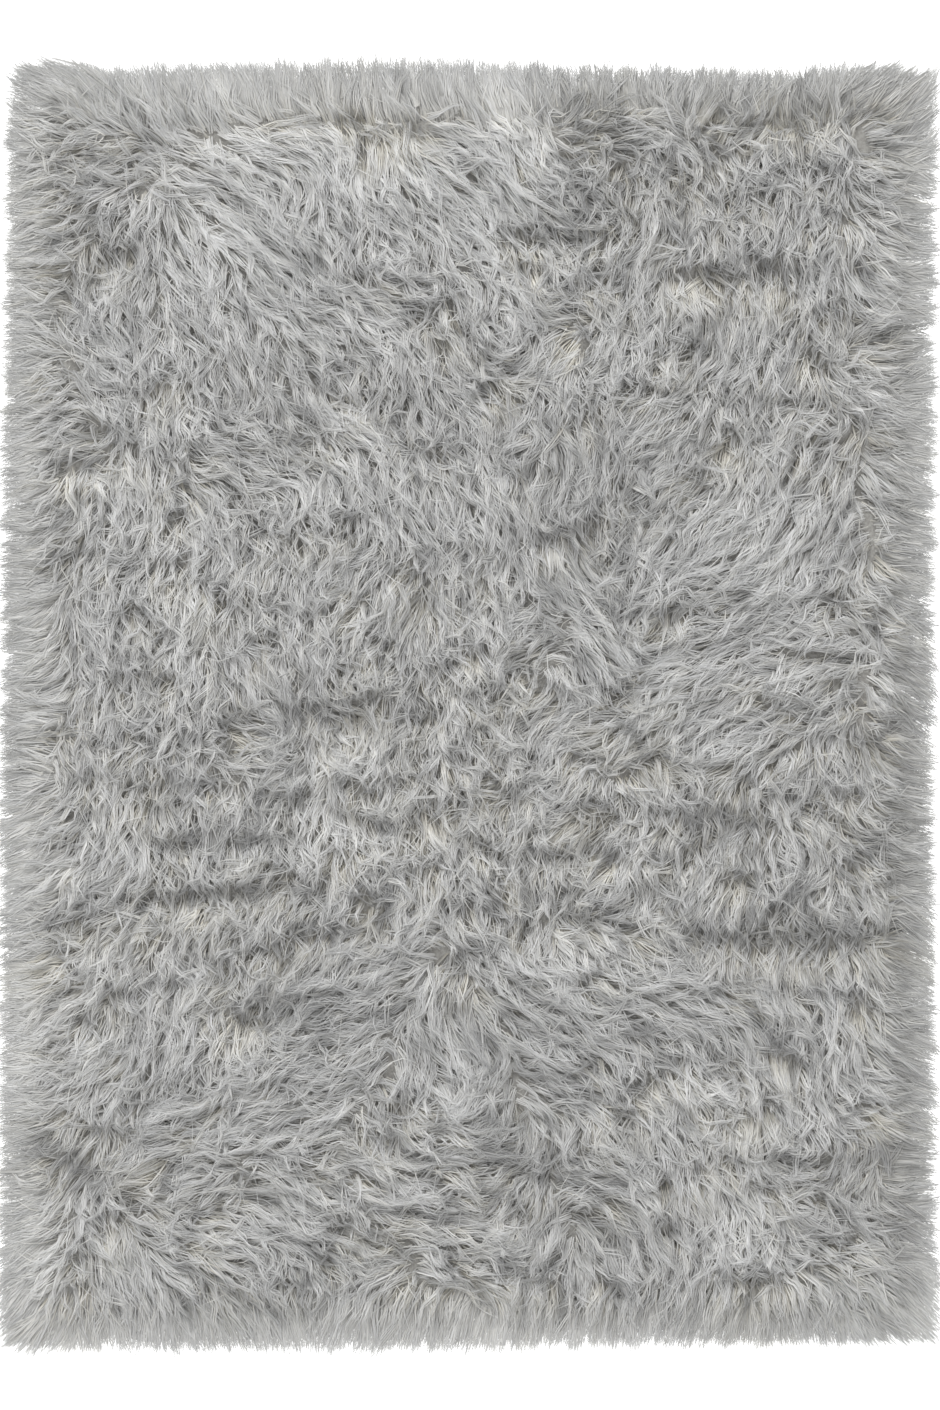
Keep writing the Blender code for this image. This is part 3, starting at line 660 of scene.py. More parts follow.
# Patches of painted light and shade, lighter or darker than the rest, and how tangled each is.
PAINTED_SHADE_PATCHES = (
    ShadePatch("meadow", -195, 790, 270, 85, 0.9, -0.15),
    ShadePatch("meadow_2", -350, 660, 85, 85, 0.9, -0.25),
    ShadePatch("meadow_3", 60, 805, 50, 70, 0.8, -0.15),
    ShadePatch("meadow_4", 45, 625, 85, 45, 0.6, 0.1),
    ShadePatch("swirl_light", 145, 505, 65, 20, 0.5, 0.3),
    ShadePatch("smooth_patch", 385, 215, 105, 80, 0.8, -0.25),
    ShadePatch("smooth_patch_2", 430, 35, 65, 55, 0.6, -0.15),
    ShadePatch("smooth_patch_3", 315, -35, 85, 45, 0.5, -0.10),
    ShadePatch("middle_tuft", -180, -90, 50, 30, 0.7, 0.2),
    ShadePatch("middle_tuft_2", -180, -200, 55, 50, 0.6, 0.2),
    ShadePatch("middle_tuft_3", -40, -220, 45, 55, 0.4, 0.2),
    ShadePatch("low_tuft", 155, -355, 55, 25, 0.6, 0.5),
    ShadePatch("left_column", -410, 205, 85, 170, 0.25, 0.1),
    ShadePatch("column_nick", -240, 290, 35, 30, 0.5, 0.3),
    ShadePatch("left_nick", -550, 315, 50, 15, 0.6, 0.5),
    ShadePatch("low_left_tuft", -325, -505, 45, 55, 0.4, 0.3),
    ShadePatch("low_left_rim", -605, -490, 55, 85, 0.4, 0.3),
    ShadePatch("low_left_bank", -535, -360, 55, 30, 0.3, 0.4),
    ShadePatch("near_tuft", 375, -745, 30, 35, 0.6, 0.5),
    ShadePatch("near_bank", 330, -560, 70, 15, 0.3, 0.5),
    ShadePatch("near_bank_2", -55, -605, 45, 35, 0.3, 0.0),
    ShadePatch("near_left_rim", -595, -800, 70, 55, 0.3, 0.3),
    ShadePatch("column_light", 5, 95, 45, 70, 0.3, 0.2),
    ShadePatch("burl", 180, 795, 65, 85, -1.0, 0.4),
    ShadePatch("far_right_dark", 470, 815, 155, 70, -0.6, 0.2),
    ShadePatch("right_band", 385, 695, 85, 15, -0.5, 0.0),
    ShadePatch("right_band_2", 415, 610, 155, 15, -0.6, 0.0),
    ShadePatch("right_band_3", 545, 520, 85, 45, -0.6, 0.0),
    ShadePatch("left_hollow", -510, 640, 50, 45, -0.8, 0.2),
    ShadePatch("left_hollow_2", -535, 375, 45, 35, -0.5, 0.2),
    ShadePatch("left_hollow_3", -565, 205, 55, 70, -0.3, 0.0),
    ShadePatch("centre_dark", 130, 350, 100, 70, -0.3, -0.2),
    ShadePatch("centre_dark_2", 130, 230, 70, 45, -0.5, -0.2),
    ShadePatch("centre_dark_3", 190, 95, 130, 70, -0.2, -0.1),
    ShadePatch("middle_line", -240, -15, 130, 30, -0.6, 0.0),
    ShadePatch("left_low_dark", -335, -165, 70, 55, -0.6, -0.2),
    ShadePatch("right_low_dark", 360, -175, 100, 55, -0.7, -0.1),
    ShadePatch("right_low_dark_2", 570, -175, 55, 55, -0.5, 0.0),
    ShadePatch("right_line", 460, -325, 155, 35, -1.0, -0.2),
    ShadePatch("right_line_2", 400, -445, 85, 70, -0.6, -0.1),
    ShadePatch("broad_line", -240, -430, 100, 35, -0.7, 0.0),
    ShadePatch("low_centre_dark", -25, -460, 155, 70, -0.5, -0.2),
    ShadePatch("near_centre_dark", 105, -645, 100, 85, -0.7, -0.2),
    ShadePatch("near_centre_dark_2", 260, -730, 85, 85, -0.5, -0.1),
    ShadePatch("near_centre_dark_3", 190, -830, 70, 30, -0.4, 0.0),
    ShadePatch("near_left_dark", -565, -645, 70, 50, -0.8, 0.2),
    ShadePatch("near_right_dark", 545, -660, 85, 70, -0.5, -0.1),
    ShadePatch("near_rim_dark", -310, -815, 85, 35, -0.2, 0.2),
    ShadePatch("near_rim_dark_2", -140, -800, 85, 35, -0.2, 0.0),
    ShadePatch("low_line", 45, -275, 85, 30, -0.4, 0.0),
    ShadePatch("right_rim_dark", 585, -65, 55, 45, -0.4, 0.0),
    ShadePatch("right_rim_dark_2", 555, 220, 70, 35, -0.4, 0.0),
    ShadePatch("far_fringe", 0, 905, 1100, 50, -1.1, 0.0),
    ShadePatch("left_fringe", -660, 0, 45, 1400, -0.9, 0.0),
    ShadePatch("right_fringe", 660, 0, 45, 1400, -0.3, 0.0),
    ShadePatch("far_left_hills", -560, 790, 90, 70, 0.0, 0.25),
    ShadePatch("right_bands_even", 480, 600, 160, 60, 0.0, -0.15),
    ShadePatch("middle_band", 0, -120, 620, 130, 0.0, 0.12),
    ShadePatch("near_left_hills", -250, -430, 200, 80, 0.0, 0.15),
    ShadePatch("near_fringe", 0, -890, 1100, 65, 0.1, -0.25),
    ShadePatch("near_left_flank", -330, -700, 220, 75, 0.0, -0.14),
    ShadePatch("near_right_flank", 400, -700, 180, 60, 0.0, -0.08),
)


Patch = namedtuple("Patch", "name x y half_width half_length share")
# Where the pile breaks up into more or fewer bands than elsewhere.
BREAK_PATCHES = (
    Patch("middle", 0, -110, 620, 270, 0.32),
    Patch("near half", 0, -600, 620, 160, 0.10),
    Patch("far left rim", -570, 740, 80, 140, 0.35),
    Patch("burl", 180, 800, 70, 70, 0.40),
    Patch("far right", 470, 830, 160, 50, 0.25),
    Patch("far bank", -200, 760, 220, 80, -0.28),
    Patch("far left fan", -350, 640, 110, 90, -0.20),
    Patch("smooth patch", 430, 240, 120, 80, -0.35),
    Patch("lower smooth patch", 400, -10, 110, 50, -0.35),
    Patch("left flank", -150, -430, 130, 70, -0.45),
    Patch("right flank", 130, -430, 130, 70, -0.45),
    Patch("near rim", 0, -870, 620, 45, -0.45),
    Patch("left rim", -650, 0, 50, 900, -0.30),
    Patch("right rim", 650, 0, 50, 900, -0.30),
)


def chart_grid():
    """The chart's own points, as two arrays."""
    across = np.arange(-CHART_WIDTH / 2, CHART_WIDTH / 2 + CHART_PITCH / 2, CHART_PITCH)
    along = np.arange(-CHART_LENGTH / 2, CHART_LENGTH / 2 + CHART_PITCH / 2, CHART_PITCH)
    return np.meshgrid(across, along)


def chart_window(middle, reach):
    """The rows and columns of the chart that are within this reach of a point."""
    sizes = (CHART_WIDTH, CHART_LENGTH)
    column, row = (int((place + size / 2) / CHART_PITCH) for place, size in zip(middle, sizes))
    half = int(reach / CHART_PITCH) + 1
    return slice(max(row - half, 0), row + half + 1), slice(max(column - half, 0), column + half + 1)


def read(layer, x, y):
    """A chart layer's value at each point, from the four chart points round it."""
    across = np.clip((x + CHART_WIDTH / 2) / CHART_PITCH, 0, layer.shape[1] - 1.001)
    along = np.clip((y + CHART_LENGTH / 2) / CHART_PITCH, 0, layer.shape[0] - 1.001)
    column, row = across.astype(int), along.astype(int)
    u, v = across - column, along - row
    near = layer[row, column] * (1 - u) + layer[row, column + 1] * u
    far = layer[row + 1, column] * (1 - u) + layer[row + 1, column + 1] * u
    return near * (1 - v) + far * v


def ripples(x, y, size, seed):
    """A smooth uneven pattern from about -1 to 1, with lumps of about this size."""
    rng = np.random.default_rng(seed)
    total = np.zeros_like(x)
    for _ in range(RIPPLE_WAVES):
        heading, phase = rng.uniform(0, math.tau, 2)
        wave = size * rng.uniform(*RIPPLE_LENGTHS)
        total += np.sin(math.tau * (x * math.cos(heading) + y * math.sin(heading)) / wave + phase)
    return total / math.sqrt(RIPPLE_WAVES)


def eased(share):
    """The share, brought between 0 and 1 and smoothed towards both."""
    share = np.clip(share, 0, 1)
    return share * share * (3 - 2 * share)


def grown(pair, amount):
    """The first of the pair, and this amount of the second over it."""
    return pair[0] + pair[1] * amount


def depth_in_cloth(x, y):
    """How far a point is inside the cloth's edge."""
    return np.minimum(CLOTH_WIDTH / 2 - np.abs(x), CLOTH_LENGTH / 2 - np.abs(y))


def soften(layer, times):
    """The layer, averaged over its neighbours."""
    for _ in range(times):
        padded = np.pad(layer, 1, mode="edge")
        layer = (padded[:-2, 1:-1] + padded[2:, 1:-1] + padded[1:-1, :-2] + padded[1:-1, 2:] + 4 * layer) / 8
    return layer


def chart_height(x, y):
    """The top of the pile, felt from above on the rug's own solid."""
    slab = bpy.data.objects["shag_pile"]
    above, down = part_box("shag_pile")[1][2] + 0.1, Vector((0, 0, -1))
    height = np.zeros_like(x)
    for place in np.ndindex(x.shape):
        found, point, _, _ = slab.ray_cast(Vector((x[place], y[place], above)), down)
        if found:
            height[place] = point.z
    return soften(height, 2)


def strokes(table):
    """All the rows of a table that is kept by region."""
    return [row for rows in table.values() for row in rows]


def chart_lie(x, y, unrest):
    """The way that the pile lies.

    Its axis is given as the two parts of twice its angle, so that pile that lies forwards and pile that lies
    back along the same line don't cancel out. Its sense is a level vector, the shorter the more the two are
    mixed.
    """
    axis_x, axis_y, sense_x, sense_y, total = (np.zeros_like(x) for _ in range(5))
    for comb in strokes(COMBS):
        away = ((x - comb.x * MM) ** 2 + (y - comb.y * MM) ** 2) / (comb.reach * MM) ** 2
        weight = np.exp(-COMB_FALL * away) + COMB_LEAST / (1 + away)
        lie = math.radians(comb.lie)
        axis_x += weight * math.cos(2 * lie)
        axis_y += weight * math.sin(2 * lie)
        sense_x += weight * math.cos(lie)
        sense_y += weight * math.sin(lie)
        total += weight
    out_x, out_y = outward(x, y, RIM_LEAST_DEPTH)
    pull = RIM_TURN * total * eased((RIM_TURN_DEPTH - depth_in_cloth(x, y)) / RIM_TURN_WIDTH)
    straight_out = 2 * np.arctan2(out_y, out_x)
    out_axis_x, out_axis_y = np.cos(straight_out), np.sin(straight_out)
    short = np.maximum(RIM_LEAST * total - axis_x * out_axis_x - axis_y * out_axis_y, 0)
    pull += short * (1 - eased(depth_in_cloth(x, y) / RIM_LEAST_DEPTH))
    axis_x += pull * out_axis_x
    axis_y += pull * out_axis_y
    swing = sum(grown(turn, unrest) * ripples(x, y, size, seed) for size, seed, turn in LIE_SWINGS)
    axis = np.arctan2(axis_y, axis_x) + 2 * swing
    return np.cos(axis), np.sin(axis), sense_x / total, sense_y / total


def outward(x, y, depth):
    """At the cloth's edge the pile falls outwards: a level vector, up to 1 long at the edge itself."""
    out_x = (1 - eased((CLOTH_WIDTH / 2 - np.abs(x)) / depth)) * np.sign(x)
    out_y = (1 - eased((CLOTH_LENGTH / 2 - np.abs(y)) / depth)) * np.sign(y)
    return out_x, out_y


def patched(patches, x, y):
    """How much each of these patches counts at each point, one after the other."""
    for patch in patches:
        away = ((x - patch.x * MM) / (patch.half_width * MM)) ** 2
        away += ((y - patch.y * MM) / (patch.half_length * MM)) ** 2
        yield patch, np.exp(-away)


def scatter_breaks(axis_x, axis_y):
    """Short partings across the lie, all over the cloth."""
    rng = np.random.default_rng(25)
    x, y = scattered(BREAK_PITCH, 26)
    share = BREAK_SHARE + sum(patch.share * near for patch, near in patched(BREAK_PATCHES, x, y))
    kept = rng.random(x.size) < share
    x, y = x[kept], y[kept]
    lie = np.arctan2(read(axis_y, x, y), read(axis_x, x, y)) / 2
    across = lie + math.pi / 2 + rng.normal(0, BREAK_SKEW, x.size)
    half = rng.uniform(*BREAK_HALF_LENGTH, x.size)
    span_x, span_y = half * np.cos(across), half * np.sin(across)
    depth = rng.uniform(*BREAK_DEPTH, x.size)
    lee = rng.uniform(*BREAK_LEE, x.size)
    ends = np.stack((x - span_x, y - span_y, x + span_x, y + span_y), 1) / MM
    return [Parting(*places, *row) for places, row in zip(ends, np.stack((depth, lee), 1))]


def chart_partings(x, y, partings, sense_x, sense_y):
    """Three layers: 1 along the middle of each parting, 1 on the tips that hang over it and 1 on the low
    pile beyond, each falling to 0 around."""
    x = x + PARTING_WANDER * ripples(x, y, PARTING_WANDER_SIZE, 21)
    y = y + PARTING_WANDER * ripples(x, y, PARTING_WANDER_SIZE, 22)
    middle, brow, lee = (np.zeros_like(x) for _ in range(3))
    for parting in partings:
        start = np.array((parting.x0, parting.y0)) * MM
        line = np.array((parting.x1, parting.y1)) * MM - start
        length = np.linalg.norm(line)
        window = chart_window(start + line / 2, length / 2 + PARTING_REACH)
        from_x, from_y = x[window] - start[0], y[window] - start[1]
        share = (from_x * line[0] + from_y * line[1]) / length**2
        along = np.clip(share, 0, 1)
        off_x, off_y = from_x - along * line[0], from_y - along * line[1]
        past_end = np.abs(share - along) * length
        across_x, across_y = -line[1] / length, line[0] / length
        near_line = np.exp(-((np.hypot(off_x, off_y) / PARTING_FACE) ** 2))
        facing = np.sign((near_line * (sense_x[window] * across_x + sense_y[window] * across_y)).sum())
        ahead = (off_x * across_x + off_y * across_y) * facing
        depth = np.exp(-((past_end / PARTING_END) ** 2)) * parting.depth
        far = parting.lee * MM
        for layer, place, spread in (
            (middle, 0, PARTING_SPREAD),
            (brow, BROW_PLACE, BROW_SPREAD),
            (lee, grown(LEE_PLACE, far), LEE_SPREAD * far),
        ):
            layer[window] = np.maximum(layer[window], depth * np.exp(-(((ahead - place) / spread) ** 2)))
    breaks = grown(PARTING_GAPS, ripples(x, y, PARTING_GAP_SIZE, 23)).clip(0, 1.1)
    return middle * breaks, brow * breaks, lee * breaks


def chart_folds(x, y):
    """Painted light and shade: how much lighter the pile's crests are than the rest, and its hollows darker.
    """
    light = np.zeros_like(x)
    for fold in strokes(FOLDS):
        start = np.array((fold.x0, fold.y0)) * MM
        line = np.array((fold.x1, fold.y1)) * MM - start
        window = chart_window(start + line / 2, np.linalg.norm(line) / 2 + 2.5 * fold.half_width * MM)
        share = ((x[window] - start[0]) * line[0] + (y[window] - start[1]) * line[1]) / (line @ line)
        share = np.clip(share, 0, 1)
        off = np.hypot(x[window] - start[0] - share * line[0], y[window] - start[1] - share * line[1])
        light[window] += fold.light * np.exp(-((off / (fold.half_width * MM)) ** 2))
    return light


def chart_patches(x, y):
    """How light the pile is, from the folds' and the patches' painted light and shade and the rim, how
    tangled it is, from the patches, and how near it is to the rim.
    """
    light = FOLD_PAINTED_SHADING * chart_folds(x, y)
    unrest = np.full_like(x, UNREST)
    for share, size, seed in UNREST_RIPPLES:
        unrest += share * ripples(x, y, size, seed)
    for patch, near in patched(PAINTED_SHADE_PATCHES, x, y):
        # painted light and shade of each patch
        light += PATCH_PAINTED_SHADING * patch.light * near
        unrest += patch.unrest * near
    outer, inner = RIM_BAND
    rim = 1 - eased((depth_in_cloth(x, y) - outer) / (inner - outer))
    light += RIM_LIGHT * rim
    return light, unrest * (1 - UNREST_RIM * rim), rim


def combed(pile, layer, x, y):
    """The layer, averaged along the lie and brought to an even spread round 0."""
    total = layer.copy()
    start_x, start_y = pile.axis(x, y)
    for way in (-1, 1):
        px, py, head_x, head_y = x, y, way * start_x, way * start_y
        for _ in range(RELIEF_STEPS):
            head_x, head_y = pile.axis(px, py, head_x, head_y)
            px, py = px + CHART_PITCH * head_x, py + CHART_PITCH * head_y
            total += read(layer, px, py)
    return (total - total.mean()) / total.std()


class Pile:
    """Layers of the chart, read by every strand."""

    def __init__(self):
        x, y = chart_grid()
        self.light, unrest, self.rim = chart_patches(x, y)
        self.axis_x, self.axis_y, self.sense_x, self.sense_y = chart_lie(x, y, np.clip(unrest, 0, 1))
        partings = strokes(PARTINGS) + scatter_breaks(self.axis_x, self.axis_y)
        self.parting, brow, self.lee = chart_partings(x, y, partings, self.sense_x, self.sense_y)
        self.unrest = np.clip(unrest + UNREST_BROW * brow - UNREST_LEE * self.lee, 0, 1)

        rng = np.random.default_rng(35)
        ridges = combed(self, soften(rng.normal(0, 1, x.shape), 3), x, y)
        lumps = ripples(x, y, RELIEF_LUMP_SIZE, 36)
        relief = grown(RELIEF_RIDGES, self.unrest) * ridges + RELIEF_LUMPS * self.unrest * lumps
        # Painted light and shade in the strands' colour: lighter ridges, darker hollows, partings and the
        # tips over them
        relief_painted_shading = RELIEF_PAINTED_SHADING * relief * (1 - RELIEF_PAINTED_SHADING_RIM * self.rim)
        self.light += relief_painted_shading - PARTING_PAINTED_SHADE * self.parting + LEE_LIGHT * self.lee - BROW_PAINTED_SHADE * brow
        height = chart_height(x, y) + BROW_RISE * brow - LEE_DROP * self.lee + FOLD_RISE * chart_folds(x, y)
        uneven = RELIEF * relief.clip(*RELIEF_LIMITS) * eased(height / RELIEF_DEPTH)
        self.height = np.maximum(height, 0) + uneven

    def axis(self, x, y, head_x=1.0, head_y=0.0):
        """The line along which the pile lies, pointed the way that is nearer to this heading."""
        lie = np.arctan2(read(self.axis_y, x, y), read(self.axis_x, x, y)) / 2
        lie_x, lie_y = np.cos(lie), np.sin(lie)
        way = np.where(lie_x * head_x + lie_y * head_y < 0, -1, 1)
        return lie_x * way, lie_y * way

    def lie(self, x, y, rng):
        """The way that each strand here lies: mostly the pile's own, the other where the two are mixed, and
        outwards at the rim."""
        lie_x, lie_y = self.axis(x, y)
        out_x, out_y = outward(x, y, rng.uniform(*MIXED_SLOPE, x.size))
        bias = (read(self.sense_x, x, y) + OUTWARD_BIAS * out_x) * lie_x
        bias += (read(self.sense_y, x, y) + OUTWARD_BIAS * out_y) * lie_y
        way = np.where(rng.random(x.size) < 0.5 + SENSE_BIAS * bias, 1, -1)
        return lie_x * way, lie_y * way


def on_cloth(x, y, inset):
    """The points, kept at least this far inside the cloth's edge."""
    half_width, half_length = CLOTH_WIDTH / 2 - inset, CLOTH_LENGTH / 2 - inset
    return np.clip(x, -half_width, half_width), np.clip(y, -half_length, half_length)


def scattered(pitch, seed):
    """Points over the cloth, about this far apart, each strayed from an even grid."""
    rng = np.random.default_rng(seed)
    across = np.arange(-CLOTH_WIDTH / 2 + pitch / 2, CLOTH_WIDTH / 2, pitch)
    along = np.arange(-CLOTH_LENGTH / 2 + pitch / 2, CLOTH_LENGTH / 2, pitch)
    x, y = (side.ravel() for side in np.meshgrid(across, along))
    x = x + rng.uniform(-GRID_STRAY, GRID_STRAY, x.size) * pitch
    y = y + rng.uniform(-GRID_STRAY, GRID_STRAY, y.size) * pitch
    x, y = on_cloth(x, y, ROOT_INSET[0])
    over_x = np.abs(x) - (CLOTH_WIDTH / 2 - CLOTH_CORNER)
    over_y = np.abs(y) - (CLOTH_LENGTH / 2 - CLOTH_CORNER)
    inside = (over_x < 0) | (over_y < 0) | (np.hypot(over_x, over_y) < CLOTH_CORNER)
    return x[inside], y[inside]


def step_back(pile, rng, x, y, heading, length):
    """Roots for strands that pass over these points along this heading, up to a share of their length behind
    them, but on the cloth."""
    back_x, back_y = -heading[0], -heading[1]
    step = length * rng.uniform(0, BACK_SHARE, x.size) / BACK_STEPS
    inset = np.minimum(rng.uniform(*ROOT_INSET, x.size), depth_in_cloth(x, y))
    for _ in range(BACK_STEPS):
        back_x, back_y = pile.axis(x, y, back_x, back_y)
        x, y = on_cloth(x + step * back_x, y + step * back_y, inset)
    return x, y, (-back_x, -back_y)


def march(pile, x, y, length, heading, turn, push, nerve):
    """Paths that follow the lie from each root, as two arrays of points by steps, and how far each gets.

    Each sets out along its heading. turn is how far it strays from the lie, and push a level vector that it
    is driven by, where that isn't against its heading. A path that comes to a parting stops there, unless its
    nerve is more than the parting's depth.
    """
    steps_x, steps_y = [x], [y]
    free, run = np.ones_like(x), np.zeros_like(x)
    left_root = np.zeros(x.shape, bool)
    step = length / MARCH_STEPS
    cos, sin = np.cos(turn), np.sin(turn)
    along_x, along_y = heading
    with_push = along_x * push[0] + along_y * push[1] > -0.25 * np.hypot(*push)
    push_x, push_y = push[0] * with_push, push[1] * with_push
    head_x = along_x * cos - along_y * sin + push_x
    head_y = along_x * sin + along_y * cos + push_y
    for _ in range(MARCH_STEPS):
        along_x, along_y = pile.axis(x, y, along_x, along_y)
        head_x = STIFFNESS * head_x + (1 - STIFFNESS) * (along_x * cos - along_y * sin + push_x)
        head_y = STIFFNESS * head_y + (1 - STIFFNESS) * (along_x * sin + along_y * cos + push_y)
        size = np.hypot(head_x, head_y) + 1e-9
        head_x, head_y = head_x / size, head_y / size
        parting = read(pile.parting, x, y)
        left_root |= parting < CLEAR_OF_PARTING
        free = np.where(left_root & (parting > nerve), 0.0, free)
        run += step * free
        x = x + step * head_x
        y = y + step * head_y
        steps_x.append(x)
        steps_y.append(y)
    return np.stack(steps_x, 1), np.stack(steps_y, 1), np.maximum(run / length, LEAST_RUN)


def along_path(steps, share):
    """The path's value at these shares of its length."""
    place = np.clip(share, 0, 1) * (steps.shape[1] - 1.001)
    first = place.astype(int)
    rows = np.arange(len(steps))[:, None]
    return steps[rows, first] + (steps[rows, first + 1] - steps[rows, first]) * (place - first)


def unit(vectors):
    return vectors / (np.linalg.norm(vectors, axis=-1, keepdims=True) + 1e-12)


def ribbons(name, centre, share, width, roll, tone, tint):
    """Makes one piece out of many strands, each a ribbon that tapers to a point.

    centre is strands by rings by 3, and share is each ring's place between the colours of a root and a tip.
    width, roll and tone are strands by rings, and tint is one a strand.
    """
    strands, rings, _ = centre.shape
    tangent = unit(np.gradient(centre, axis=1))
    level = unit(np.cross((0.0, 0.0, 1.0), tangent))
    lifted = np.cross(tangent, level)
    side = level * np.cos(roll)[..., None] + lifted * np.sin(roll)[..., None]
    normal = np.cross(tangent, side)
    right = centre - side * width[..., None] / 2
    left = centre + side * width[..., None] / 2
    pairs = np.stack((right[:, :-1], left[:, :-1]), 2).reshape(strands, -1, 3)
    points = np.concatenate((pairs, centre[:, -1:]), 1)
    fan = STRAND_NORMAL_SPREAD
    normals = np.stack((unit(normal - side * fan)[:, :-1], unit(normal + side * fan)[:, :-1]), 2)
    normals = np.concatenate((normals.reshape(strands, -1, 3), normal[:, -1:]), 1)

    each = 2 * (rings - 1) + 1
    ring = np.arange(rings - 2) * 2
    quads = np.stack((ring, ring + 2, ring + 3, ring + 1), 1).ravel()
    corners = np.concatenate((quads, (each - 3, each - 1, each - 2)))
    loops = (np.arange(strands)[:, None] * each + corners).ravel()
    sizes = np.tile(np.append(np.full(rings - 2, 4), 3), strands)

    mesh = bpy.data.meshes.new(name)
    mesh.vertices.add(strands * each)
    mesh.vertices.foreach_set("co", points.astype(np.float32).ravel())
    mesh.loops.add(len(loops))
    mesh.loops.foreach_set("vertex_index", loops)
    mesh.polygons.add(len(sizes))
    mesh.polygons.foreach_set("loop_start", np.concatenate(((0,), np.cumsum(sizes)[:-1])))
    mesh.polygons.foreach_set("use_smooth", np.ones(len(sizes), bool))
    mesh.update(calc_edges=True)

    across = np.append(np.tile((-MAP_WIDTH / 2, MAP_WIDTH / 2), rings - 1), 0.0)
    tone_there = np.concatenate((np.repeat(tone[:, :-1], 2, axis=1), tone[:, -1:]), 1)
    u = (tint[:, None] + TINT_MARGIN + (1 - 2 * TINT_MARGIN) * tone_there + across) / TINTS
    v = np.broadcast_to(0.02 + 0.96 * np.append(np.repeat(share[:-1], 2), share[-1]), u.shape)
    spots = np.stack((u, v), 2).reshape(-1, 2)[loops]
    mesh.uv_layers.new(name="OFBake").data.foreach_set("uv", spots.astype(np.float32).ravel())
    mesh.normals_split_custom_set_from_vertices(unit(normals).reshape(-1, 3))

    piece = bpy.data.objects.new(name, mesh)
    bpy.context.scene.collection.objects.link(piece)
    return piece


def toned_and_shaded(pile, px, py, rng, spread, warmth):
    """Each strand's tone by rings and its tint, from where it lies and a chance of its own; where it lies
    gives its tone the chart's painted light and shade.
    """
    x, y = px[:, 0], py[:, 0]
    by_chance = CHANCE + CHANCE_UNREST * read(pile.unrest, x, y) - CHANCE_RIM * read(pile.rim, x, y)
    chance = spread * rng.normal(0, 1, len(px))[:, None] + STRAND_MOTTLE * rng.normal(0, 1, px.shape)
    # the chart's light holds painted light and shade
    light = read(pile.light, px, py) + by_chance[:, None] * chance
    tone = np.clip(light / TONE_RANGE / 2 + 0.5, 0, 1)
    warm = warmth + read(pile.rim, x, y) + LEE_WARMTH * read(pile.lee, x, y)
    warm = warm + rng.normal(0, TINT_SPREAD, x.size)
    return tone, np.clip(np.round(warm), 0, TINTS - 1)


def rise(share, start):
    """The strand's height over its length, as a share of the pile's height."""
    return 1 - (1 - start) * (1 - share) ** STRAND_RISE


def make_short_pile(pile):
    """Broad strands that close the gaps between the locks."""
    rng = np.random.default_rng(41)
    x, y = scattered(SHORT_PITCH, 42)
    length = SHORT_LENGTH * rng.uniform(*SHORT_LENGTHS, x.size)
    turn = rng.normal(0, SHORT_TURN, x.size)
    push = outward(x, y, rng.uniform(*EDGE_SLOPE, x.size))
    heading = pile.lie(x, y, rng)
    x, y, heading = step_back(pile, rng, x, y, heading, length)
    steps_x, steps_y, _ = march(pile, x, y, length, heading, turn, push, NO_STOP)
    share = np.array(SHORT_RINGS)
    px, py = along_path(steps_x, share[None]), along_path(steps_y, share[None])
    top = rng.uniform(*SHORT_TOPS, x.size)[:, None]
    z = read(pile.height, px, py) * top * rise(share, SHORT_START)
    z = np.maximum(z, CLOTH_THICKNESS)
    width = SHORT_WIDTH * rng.uniform(*SHORT_WIDTHS, x.size)[:, None] * (1 - share**2.5)
    roll = np.broadcast_to(rng.normal(0, SHORT_ROLL, x.size)[:, None], px.shape)
    tone, tint = toned_and_shaded(pile, px, py, rng, *SHORT_LOOK)
    return ribbons("short_pile", np.stack((px, py, z), 2), share, width, roll, tone, tint)


def make_low_pile(pile):
    """Fine even strands where the locks leave the pile open."""
    rng = np.random.default_rng(43)
    x, y = scattered(LOW_PITCH, 44)
    shown = read(pile.lee, x, y) > LOW_LIMIT
    x, y = x[shown], y[shown]
    length = LOW_LENGTH * rng.uniform(*LOW_LENGTHS, x.size)
    push = outward(x, y, rng.uniform(*EDGE_SLOPE, x.size))
    heading = pile.lie(x, y, rng)
    turn = rng.normal(0, LOW_TURN, x.size)
    steps_x, steps_y, _ = march(pile, x, y, length, heading, turn, push, NO_STOP)
    share = np.array(LOW_RINGS)
    px, py = along_path(steps_x, share[None]), along_path(steps_y, share[None])
    top = rng.uniform(*LOW_TOPS, x.size)[:, None]
    z = np.maximum(read(pile.height, px, py) * top * rise(share, LOW_START), CLOTH_THICKNESS)
    width = LOW_WIDTH * rng.uniform(*LOW_WIDTHS, x.size)[:, None] * (1 - share**2.5)
    roll = np.broadcast_to(rng.normal(0, LOW_ROLL, x.size)[:, None], px.shape)
    tone, tint = toned_and_shaded(pile, px, py, rng, *LOW_LOOK)
    return ribbons("low_pile", np.stack((px, py, z), 2), share * LOW_TIP, width, roll, tone, tint)


